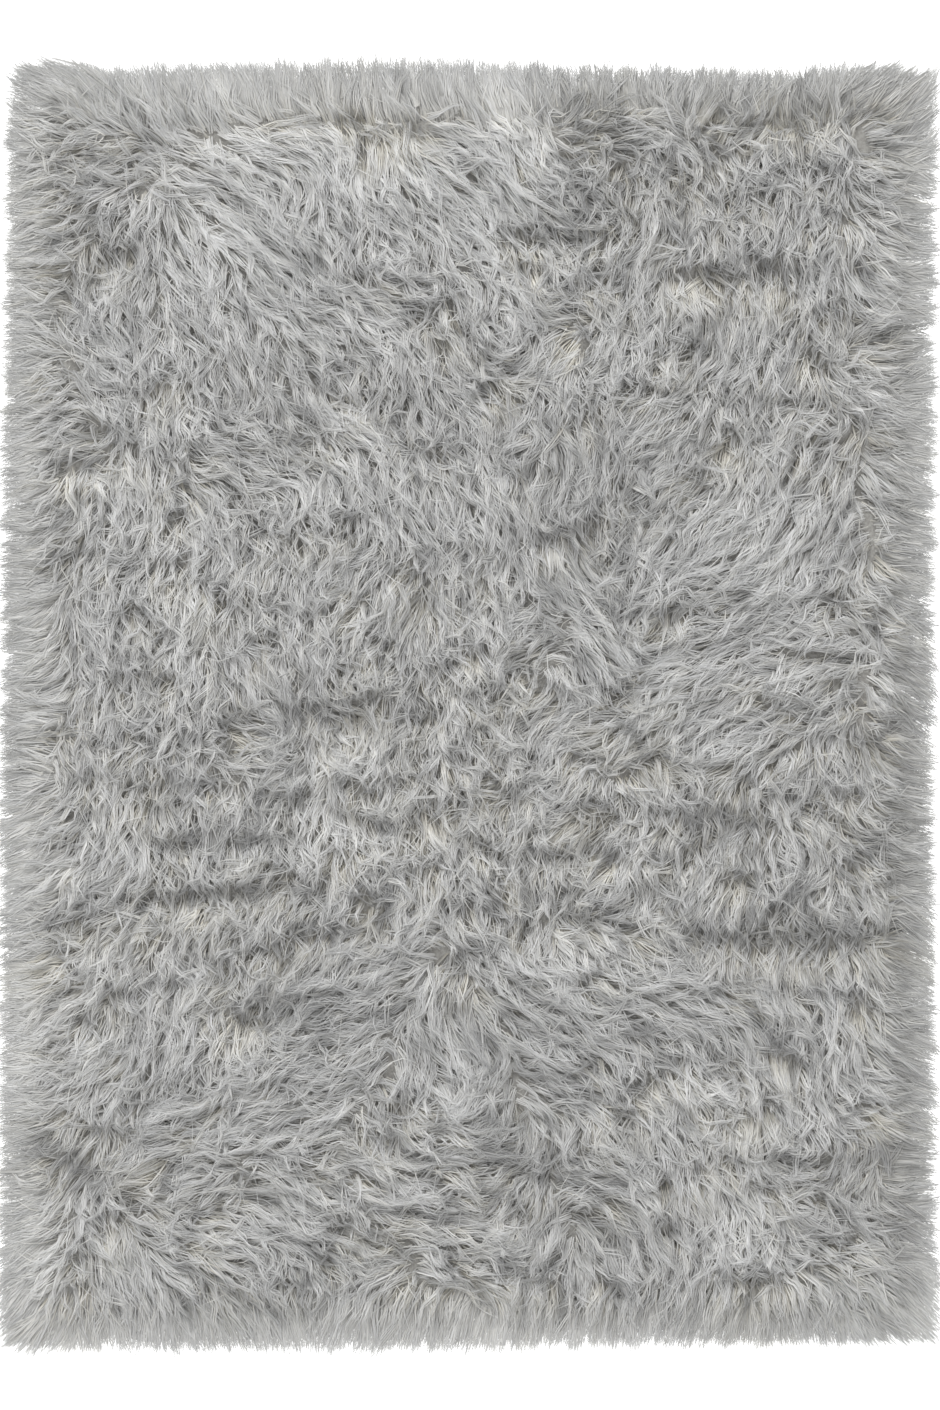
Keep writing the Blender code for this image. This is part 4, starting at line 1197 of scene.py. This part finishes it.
class Tufts:
    """The tufts that locks draw together in, each with a turn and a lift of its own."""

    def __init__(self):
        rng = np.random.default_rng(45)
        self.x, self.y = scattered(TUFT_PITCH, 46)
        self.turn, self.lift = rng.normal(0, 1, (2, self.x.size)).clip(-2, 2)
        self.tree = KDTree(self.x.size)
        for number, place in enumerate(zip(self.x, self.y)):
            self.tree.insert((*place, 0), number)
        self.tree.balance()

    def nearest(self, x, y):
        """The number of the tuft that is nearest to each point."""
        return np.array([self.tree.find((*place, 0))[1] for place in zip(x, y)])

    def sway(self, pile, x, y, rng):
        """How far each lock that is rooted here strays from the lie: its tuft's own turn and one more."""
        unrest = read(pile.unrest, x, y)
        own = rng.normal(0, 1, x.size) * grown(LOCK_TURN, unrest)
        return own + self.turn[self.nearest(x, y)] * grown(TUFT_TURN, unrest)


def lay_locks(pile, tufts, rng, steps_x, steps_y, run, length, rings, reach, bunching=1.0):
    """The strands of the locks that follow these paths: all that ribbons() takes, but the name.

    run is how much of its path each lock gets along, reach how much of that its shortest and its longest
    strands take, and bunching how strongly they draw together.
    """
    x, y = steps_x[:, 0], steps_y[:, 0]
    locks = x.size
    tuft = tufts.nearest(x, y)
    curl = np.clip(read(pile.unrest, x, y) + STOPPED_CURL * (run < 0.99), 0, 1)

    strands = locks * LOCK_STRANDS
    lock = np.repeat(np.arange(locks), LOCK_STRANDS)
    aside = np.tile(np.linspace(-1, 1, LOCK_STRANDS), locks) + rng.uniform(-LOCK_UNEVEN, LOCK_UNEVEN, strands)
    back = rng.uniform(-1, 1, strands)

    share = np.array(rings)
    path_share = share * (rng.uniform(*reach, strands) * run[lock])[:, None]
    px = along_path(steps_x[lock], path_share)
    py = along_path(steps_y[lock], path_share)
    head = unit(np.stack((np.gradient(px, axis=1), np.gradient(py, axis=1)), 2))
    side_x, side_y = -head[..., 1], head[..., 0]

    # The strands of a lock draw together towards its tip, and the locks of a tuft a little, the more so
    # the more tangled they are.
    draw = bunching * grown(LOCK_DRAW, curl)[lock][:, None]
    sideways = aside[:, None] * LOCK_RADIUS * (1 - draw * share**1.3)
    off_x, off_y = x - tufts.x[tuft], y - tufts.y[tuft]
    off_tuft = off_x * side_x[::LOCK_STRANDS, 0] + off_y * side_y[::LOCK_STRANDS, 0]
    tuft_draw = bunching * grown(TUFT_DRAW, curl) * off_tuft
    sideways = sideways - tuft_draw[lock][:, None] * share**1.6
    # Each lock waves from side to side and its tip curls.
    wave = rng.uniform(*LOCK_WAVE, locks)[lock][:, None]
    phase = rng.uniform(0, math.tau, locks)[lock][:, None]
    swing = grown(LOCK_SWING, curl)[lock][:, None]
    run_here = length[lock][:, None] * path_share
    sideways = sideways + swing * share**1.2 * np.sin(math.tau * run_here / wave + phase)
    hook = (rng.normal(0, 1, locks) * grown(LOCK_HOOK, curl))[lock][:, None]
    sideways = sideways + hook * eased((share - LOCK_HOOK_START) / (1 - LOCK_HOOK_START))
    frizz = rng.normal(0, FRIZZ, strands)[:, None] * grown(FRIZZ_GAIN, curl[lock][:, None])
    frizz_phase = rng.uniform(0, math.tau, strands)[:, None]
    sideways = sideways + frizz * share * np.sin(math.tau * run_here / FRIZZ_WAVE + frizz_phase)
    behind = (back * LOCK_RADIUS * LOCK_DEPTH)[:, None] * (1 - share)
    px = px + side_x * sideways + head[..., 0] * behind
    py = py + side_y * sideways + head[..., 1] * behind

    # A smooth lock's tip sinks into the pile, a tangled one's stands up.
    lift = rng.normal(0, 1, locks) * grown(LOCK_LIFT, curl) + tufts.lift[tuft] * grown(TUFT_LIFT, curl)
    lift = lift.clip(*LIFT_LIMITS)[lock][:, None]
    tip = (TIP_RISE * (curl - TIP_LEVEL) + rng.normal(0, grown(TIP_CHANCE, curl)))[lock][:, None]
    tip_lift = tip * eased((share - 0.5) / 0.5)
    dome = LOCK_DOME * (1 - np.clip(aside[:, None], -1, 1) ** 2) * grown(DOME_GAIN, curl[lock][:, None])
    height = read(pile.height, px, py)
    settle = eased(height / SETTLE_HEIGHT)
    z = height * rise(share, LOCK_START)
    z = z + (lift + tip_lift + dome) * (SETTLED_SHARE + (1 - SETTLED_SHARE) * settle)
    floor = rng.uniform(*LOCK_FLOOR, strands)[:, None]
    z = np.clip(z, floor, PILE_TOP)

    width = STRAND_WIDTH * rng.uniform(0.65, 1.3, strands)[:, None] * (1 - share**2.8)
    across, by_chance, along = LOCK_ROLL
    roll = across * aside[:, None] + rng.normal(0, by_chance, strands)[:, None]
    roll = roll + along * np.sin(math.tau * share + frizz_phase)
    tone, tint = toned_and_shaded(pile, px, py, rng, *LOCK_LOOK)
    tone = np.clip(tone + (LOCK_TONE_SPREAD * rng.normal(0, 1, locks))[lock][:, None], 0, 1)
    return np.stack((px, py, z), 2), share, width, roll, tone, tint


def in_pieces(name, count, centre, share, width, roll, tone, tint):
    """The strands as this many joined pieces."""
    pieces = []
    for number, part in enumerate(np.array_split(np.arange(len(centre)), count)):
        fields = (field[part] for field in (width, roll, tone, tint))
        pieces.append(ribbons(f"{name}_{number + 1}", centre[part], share, *fields))
    return pieces


def make_locks(pile, tufts):
    """Straight, curled and open locks, in pieces from the near end to the far end."""
    rng = np.random.default_rng(51)
    x, y = scattered(LOCK_PITCH, 52)
    order = np.argsort(y)
    x, y = x[order], y[order]
    open_locks = read(pile.lee, x, y) > OPEN_LIMIT
    curled = read(pile.unrest, x, y) > CURL_LIMIT
    pieces = []
    for name, chosen, rings, start, count in (
        ("straight_locks", ~curled & ~open_locks, STRAIGHT_RINGS, LOCK_ROOT, STRAIGHT_PIECES),
        ("curled_locks", curled & ~open_locks, CURLED_RINGS, LOCK_ROOT, CURLED_PIECES),
        ("open_locks", open_locks, OPEN_RINGS, 0.0, OPEN_PIECES),
    ):
        root_x, root_y = x[chosen], y[chosen]
        length = LOCK_LENGTH * (1 + LOCK_LENGTH_SPREAD * rng.normal(0, 1, root_x.size).clip(-2, 2))
        push = outward(root_x, root_y, rng.uniform(*EDGE_SLOPE, root_x.size))
        heading = pile.lie(root_x, root_y, rng)
        root_x, root_y, heading = step_back(pile, rng, root_x, root_y, heading, length)
        stops = rng.random(root_x.size) < NERVE_SHARE
        nerve = np.where(stops, rng.uniform(*NERVE, root_x.size), NO_STOP)
        turn = tufts.sway(pile, root_x, root_y, rng)
        path = march(pile, root_x, root_y, length, heading, turn, push, nerve)
        centre, share, *looks = lay_locks(pile, tufts, rng, *path, length, rings, LOCK_SPAN)
        pieces += in_pieces(name, count, centre, start + (1 - start) * share, *looks)
    return pieces


def fringe_reach(x, y):
    """How far the fringe that is rooted here reaches past or short of its straight line."""
    half_width, half_length = CLOTH_WIDTH / 2, CLOTH_LENGTH / 2
    on_side = half_width - np.abs(x) < half_length - np.abs(y)
    along = np.where(on_side, y / half_length, x / half_width) / 2 + 0.5
    stations = np.linspace(0, 1, len(FRINGE_REACH["left"]))
    side = np.where(x < 0, *(np.interp(along, stations, FRINGE_REACH[name]) for name in ("left", "right")))
    end = np.where(y < 0, *(np.interp(along, stations, FRINGE_REACH[name]) for name in ("near", "far")))
    return np.where(on_side, side, end) * MM


def share_at(measure, level):
    """The share of each path at which what is measured along it first gets up to this level."""
    measure = np.maximum.accumulate(measure, axis=1)
    before = (measure < level[:, None]).sum(1).clip(1, measure.shape[1] - 1)
    rows = np.arange(len(measure))
    low, high = measure[rows, before - 1], measure[rows, before]
    part = np.clip((level - low) / np.maximum(high - low, 1e-6), 0, 1)
    return (before - 1 + part) / (measure.shape[1] - 1)


def past_edge(x, y):
    """How far points are past the cloth's edge, measured so that lines of one distance round its corners."""
    over_x = np.maximum(np.abs(x) - CLOTH_WIDTH / 2, 0)
    over_y = np.maximum(np.abs(y) - CLOTH_LENGTH / 2, 0)
    return (over_x**CORNER_POWER + over_y**CORNER_POWER) ** (1 / CORNER_POWER)


def fringe_tips(rng):
    """Places all round the outline, a little uneven, and the level way outwards from each."""
    half_width, half_length = CLOTH_WIDTH / 2 + PILE_REACH, CLOTH_LENGTH / 2 + PILE_REACH
    along_x = np.arange(-half_width, half_width, FRINGE_PITCH)
    along_y = np.arange(-half_length, half_length, FRINGE_PITCH)
    sides = [np.full(along_y.size, place) for place in (-half_width, half_width)]
    ends = [np.full(along_x.size, place) for place in (-half_length, half_length)]
    x = np.concatenate((along_x, along_x, *sides))
    y = np.concatenate((*ends, along_y, along_y))
    out_x, out_y = outward(x, y, FRINGE_TURN)
    size = np.hypot(out_x, out_y)
    reach = PILE_REACH + fringe_reach(x, y) + FRINGE_SPREAD * rng.normal(0, 1, x.size).clip(-2.5, 1.8)
    reach /= past_edge(x, y)
    x += np.sign(x) * np.maximum(np.abs(x) - CLOTH_WIDTH / 2, 0) * (reach - 1)
    y += np.sign(y) * np.maximum(np.abs(y) - CLOTH_LENGTH / 2, 0) * (reach - 1)
    return x, y, out_x / size, out_y / size


def make_fringe(pile, tufts):
    """Locks that end evenly along the rug's outline: each is traced back from its tip to its root."""
    rng = np.random.default_rng(71)
    x, y, out_x, out_y = fringe_tips(rng)
    strength = rng.uniform(*FRINGE_PUSH, x.size)
    push = (-strength * out_x, -strength * out_y)
    turn = FRINGE_SWAY * tufts.sway(pile, x, y, rng)
    heading = pile.axis(x, y, *push)
    length = np.full(x.size, FRINGE_LENGTH)
    steps_x, steps_y, _ = march(pile, x, y, length, heading, turn, push, NO_STOP)
    root = share_at(depth_in_cloth(steps_x, steps_y), rng.uniform(*FRINGE_INSET, x.size))
    from_root = root[:, None] * np.linspace(1, 0, MARCH_STEPS + 1)
    steps_x, steps_y = along_path(steps_x, from_root), along_path(steps_y, from_root)
    length = FRINGE_LENGTH * root
    path = (steps_x, steps_y, np.ones(x.size))
    bent = (FRINGE_RINGS, FRINGE_SPAN, FRINGE_BUNCHING)
    centre, share, width, *looks = lay_locks(pile, tufts, rng, *path, length, *bent)
    centre[..., 2] *= FRINGE_LEVEL
    width = width * np.interp(share, (0.3, 0.8), (1.0, FRINGE_FULLNESS))
    return ribbons("rim_fringe", centre, LOCK_ROOT + (1 - LOCK_ROOT) * share, width, *looks)


def make_stray_hairs(pile):
    """Thin single strands that bow over the locks."""
    rng = np.random.default_rng(81)
    x, y = scattered(STRAY_PITCH, 82)
    strays = x.size
    unrest = read(pile.unrest, x, y)
    length = STRAY_LENGTH * rng.uniform(*STRAY_LENGTHS, strays)
    turn = rng.normal(0, 1, strays) * grown(STRAY_TURN, unrest)
    push = outward(x, y, rng.uniform(*EDGE_SLOPE, strays))
    heading = pile.lie(x, y, rng)
    x, y, heading = step_back(pile, rng, x, y, heading, length)
    steps_x, steps_y, _ = march(pile, x, y, length, heading, turn, push, NO_STOP)
    share = np.array(STRAY_RINGS)
    px, py = along_path(steps_x, share[None]), along_path(steps_y, share[None])
    bow = (rng.normal(0, 1, strays) * grown(STRAY_BOW, unrest))[:, None]
    head = unit(np.stack((np.gradient(px, axis=1), np.gradient(py, axis=1)), 2))
    sideways = bow * np.sin(math.pi * share * rng.uniform(*STRAY_BOW_WAVES, strays)[:, None])
    px, py = px - head[..., 1] * sideways, py + head[..., 0] * sideways
    height = read(pile.height, px, py)
    over = rng.uniform(*STRAY_OVER, strays)[:, None] * eased(height / SETTLE_HEIGHT)
    floor = rng.uniform(*STRAY_FLOOR, strays)[:, None]
    z = np.clip(height * rise(share, STRAY_START) + over * share, floor, PILE_TOP)
    width = STRAY_WIDTH * rng.uniform(*STRAY_WIDTHS, strays)[:, None] * (1 - share**3)
    roll = np.broadcast_to(rng.normal(0, STRAY_ROLL, strays)[:, None], px.shape)
    tone, tint = toned_and_shaded(pile, px, py, rng, *STRAY_LOOK)
    tone = (tone + STRAY_TONE).clip(0, 1)
    return ribbons("stray_hairs", np.stack((px, py, z), 2), share, width, roll, tone, tint)


def deselect_all():
    bpy.ops.object.select_all(action="DESELECT")


def make_underpile(pile):
    """A closed lumpy mass under the strands."""
    deselect_all()
    across = int(CLOTH_WIDTH / UNDERPILE_PITCH)
    along = int(CLOTH_LENGTH / UNDERPILE_PITCH)
    bpy.ops.mesh.primitive_grid_add(x_subdivisions=across, y_subdivisions=along, size=2)
    piece = bpy.context.active_object
    piece.name = piece.data.name = "underpile"
    places = np.empty(len(piece.data.vertices) * 3, np.float32)
    piece.data.vertices.foreach_get("co", places)
    places = places.reshape(-1, 3).astype(float)
    x = places[:, 0] * (CLOTH_WIDTH / 2 - UNDERPILE_INSET)
    y = places[:, 1] * (CLOTH_LENGTH / 2 - UNDERPILE_INSET)
    edge = np.maximum(np.abs(places[:, 0]), np.abs(places[:, 1])) > 0.9999
    lump_height, lump_size = UNDERPILE_LUMPS
    z = read(pile.height, x, y) * UNDERPILE_SHARE + lump_height * ripples(x, y, lump_size, 61)
    z = np.where(edge, CLOTH_THICKNESS + UNDERPILE_EDGE, z)
    piece.data.vertices.foreach_set("co", np.stack((x, y, z), 1).astype(np.float32).ravel())
    bpy.ops.object.mode_set(mode="EDIT")
    bpy.ops.mesh.select_all(action="DESELECT")
    bpy.ops.mesh.select_non_manifold()
    bpy.ops.mesh.extrude_region_move()
    bottom = (0, 0, CLOTH_THICKNESS + UNDERPILE_GAP)
    bpy.ops.transform.resize(value=(1, 1, 0), center_override=bottom)
    bpy.ops.mesh.edge_face_add()
    bpy.ops.object.mode_set(mode="OBJECT")
    bpy.ops.object.shade_smooth()
    return piece


def make_ground_cloth():
    """The cut length of knitted cloth, with its corners rounded."""
    deselect_all()
    bpy.ops.mesh.primitive_cube_add(size=1, location=(0, 0, CLOTH_THICKNESS / 2))
    piece = bpy.context.active_object
    piece.name = piece.data.name = "ground_cloth"
    piece.scale = (CLOTH_WIDTH, CLOTH_LENGTH, CLOTH_THICKNESS)
    bpy.ops.object.transform_apply(location=True, rotation=True, scale=True)
    bevel = piece.modifiers.new("rounded_corners", "BEVEL")
    bevel.width = CLOTH_CORNER
    bevel.segments = 6
    bevel.limit_method = "WEIGHT"
    weights = piece.data.attributes.new("bevel_weight_edge", "FLOAT", "EDGE")
    for edge in piece.data.edges:
        start, end = (piece.data.vertices[vertex].co for vertex in edge.vertices)
        weights.data[edge.index].value = float(abs(start.z - end.z) > CLOTH_THICKNESS / 2)
    bpy.ops.object.modifier_apply(modifier=bevel.name)
    return piece


def math_node(tree, operation, *values):
    """The operation's result on these numbers and sockets."""
    node = tree.nodes.new("ShaderNodeMath")
    node.operation = operation
    for socket, value in zip(node.inputs, values):
        if isinstance(value, (int, float)):
            socket.default_value = value
        else:
            tree.links.new(value, socket)
    return node.outputs[0]


def ramp(tree, factor, stops):
    """The colour at this factor between the stops."""
    node = tree.nodes.new("ShaderNodeValToRGB")
    elements = node.color_ramp.elements
    while len(elements) < len(stops):
        elements.new(0.5)
    for element, (place, colour) in zip(elements, stops):
        element.position = place
        element.color = (*colour, 1)
    tree.links.new(factor, node.inputs[0])
    return node.outputs[0]


def multiplied(tree, first, second):
    """One colour times the other."""
    node = tree.nodes.new("ShaderNodeMix")
    node.data_type = "RGBA"
    node.blend_type = "MULTIPLY"
    node.inputs[0].default_value = 1.0
    tree.links.new(first, node.inputs[6])
    tree.links.new(second, node.inputs[7])
    return node.outputs[2]


def bumped(tree, height, size):
    """A surface with this relief, by its strength and depth."""
    node = tree.nodes.new("ShaderNodeBump")
    node.inputs["Strength"].default_value, node.inputs["Distance"].default_value = size
    tree.links.new(height, node.inputs["Height"])
    return node.outputs[0]


def strand_material():
    """Light grey fur, painted darker at its roots as shade deep in the pile. Its tone, which carries painted
    light and shade, and its tint are columns of the strand's own map.
    """
    material = bpy.data.materials.new("grey_fur_strands")
    material.use_nodes = True
    tree = material.node_tree
    shader = tree.nodes["Principled BSDF"]
    place = tree.nodes.new("ShaderNodeUVMap")
    place.uv_map = "OFBake"
    parts = tree.nodes.new("ShaderNodeSeparateXYZ")
    tree.links.new(place.outputs[0], parts.inputs[0])
    column = math_node(tree, "MULTIPLY", parts.outputs[0], TINTS)
    tint = math_node(tree, "DIVIDE", math_node(tree, "FLOOR", column), TINTS - 1)
    tone = math_node(tree, "SUBTRACT", math_node(tree, "FRACT", column), TINT_MARGIN)
    tone = math_node(tree, "DIVIDE", tone, 1 - 2 * TINT_MARGIN)
    along = ramp(tree, parts.outputs[1], STRAND_COLOURS_AND_ROOT_SHADE)
    shade = ramp(tree, tone, STRAND_SHADES)
    hue = ramp(tree, tint, STRAND_HUES)
    colour = multiplied(tree, multiplied(tree, along, shade), hue)
    tree.links.new(colour, shader.inputs["Base Color"])
    shader.inputs["Roughness"].default_value = STRAND_ROUGHNESS
    shader.inputs["Specular IOR Level"].default_value = STRAND_SHEEN
    return material


def underpile_material():
    """Fur painted darker, as shade deep in the pile between the locks, unevenly grained."""
    material = bpy.data.materials.new("dense_underpile")
    material.use_nodes = True
    tree = material.node_tree
    shader = tree.nodes["Principled BSDF"]
    place = tree.nodes.new("ShaderNodeTexCoord")
    noise = tree.nodes.new("ShaderNodeTexNoise")
    noise.inputs["Scale"].default_value = UNDERPILE_GRAIN
    noise.inputs["Detail"].default_value = 4
    tree.links.new(place.outputs["Object"], noise.inputs["Vector"])
    colour = ramp(tree, noise.outputs[0], UNDERPILE_SHADE_COLOURS)
    tree.links.new(colour, shader.inputs["Base Color"])
    tree.links.new(bumped(tree, noise.outputs[0], UNDERPILE_BUMP), shader.inputs["Normal"])
    shader.inputs["Roughness"].default_value = UNDERPILE_ROUGHNESS
    return material


def backing_material():
    """The ground cloth's knit: fine ribs along it, crossed by its courses, with a little unevenness."""
    material = bpy.data.materials.new("knitted_ground")
    material.use_nodes = True
    tree = material.node_tree
    shader = tree.nodes["Principled BSDF"]
    place = tree.nodes.new("ShaderNodeTexCoord")
    bands = []
    for direction, size in (("X", RIB_PITCH), ("Y", COURSE_PITCH)):
        band = tree.nodes.new("ShaderNodeTexWave")
        band.bands_direction = direction
        band.inputs["Scale"].default_value = math.tau / 20 / size
        tree.links.new(place.outputs["Object"], band.inputs["Vector"])
        bands.append(band.outputs[1])
    knit = math_node(tree, "MULTIPLY", *bands)
    noise = tree.nodes.new("ShaderNodeTexNoise")
    noise.inputs["Scale"].default_value = KNIT_WEAR
    tree.links.new(place.outputs["Object"], noise.inputs["Vector"])
    even_share, uneven_share = KNIT_SHARES
    even = math_node(tree, "MULTIPLY", knit, even_share)
    uneven = math_node(tree, "MULTIPLY", noise.outputs[0], uneven_share)
    worn = math_node(tree, "ADD", even, uneven)
    colour = ramp(tree, worn, KNIT_COLOURS)
    tree.links.new(colour, shader.inputs["Base Color"])
    tree.links.new(bumped(tree, knit, KNIT_BUMP), shader.inputs["Normal"])
    shader.inputs["Roughness"].default_value = KNIT_ROUGHNESS
    return material


def make_stage():
    """The white floor that the rug lies on."""
    deselect_all()
    bpy.ops.mesh.primitive_plane_add(size=FLOOR_SIZE, location=(0, 0, -FLOOR_DROP))
    floor = bpy.context.active_object
    floor.name = "white_floor"
    material = bpy.data.materials.new("plain_white")
    material.use_nodes = True
    shader = material.node_tree.nodes["Principled BSDF"]
    shader.inputs["Base Color"].default_value = (FLOOR_GREY, FLOOR_GREY, FLOOR_GREY, 1)
    shader.inputs["Emission Color"].default_value = (1, 1, 1, 1)
    shader.inputs["Emission Strength"].default_value = FLOOR_GLOW
    floor.data.materials.append(material)
    floor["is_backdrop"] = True


def make_lights():
    """White light from all sides, and a soft sun from the far left."""
    scene = bpy.context.scene
    world = bpy.data.worlds.new("soft_room")
    world.use_nodes = True
    background = world.node_tree.nodes["Background"]
    background.inputs["Color"].default_value = (1, 1, 1, 1)
    background.inputs["Strength"].default_value = ROOM_LIGHT
    scene.world = world
    light = bpy.data.lights.new("window", "SUN")
    light.energy = SUN_STRENGTH
    light.angle = math.radians(SUN_SPREAD)
    lamp = bpy.data.objects.new("window", light)
    lamp.rotation_euler = (*(math.radians(turn) for turn in SUN_TURN), 0)
    scene.collection.objects.link(lamp)
    scene.view_settings.view_transform = "Standard"


def make_camera():
    """Straight above the rug."""
    data = bpy.data.cameras.new("above")
    data.lens = CAMERA_LENS
    data.sensor_width = CAMERA_SENSOR
    data.clip_end = CAMERA_RANGE
    camera = bpy.data.objects.new("above", data)
    camera.location = CAMERA_PLACE
    bpy.context.scene.collection.objects.link(camera)
    bpy.context.scene.camera = camera


def main():
    pile = Pile()
    cloth = make_ground_cloth()
    underpile = make_underpile(pile)
    tufts = Tufts()
    strands = [make_short_pile(pile), make_low_pile(pile), make_fringe(pile, tufts)]
    strands += make_locks(pile, tufts)
    strands.append(make_stray_hairs(pile))
    cloth.data.materials.append(backing_material())
    underpile.data.materials.append(underpile_material())
    fur = strand_material()
    for piece in strands:
        piece.data.materials.append(fur)
    for piece in (cloth, underpile, *strands):
        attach(piece, "root")
    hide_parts("shag_pile")
    make_stage()
    make_lights()
    make_camera()


main()
boxes = {"cad": cad_box, "visual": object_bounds()}
{name: [list(corner) for corner in box] for name, box in boxes.items()}
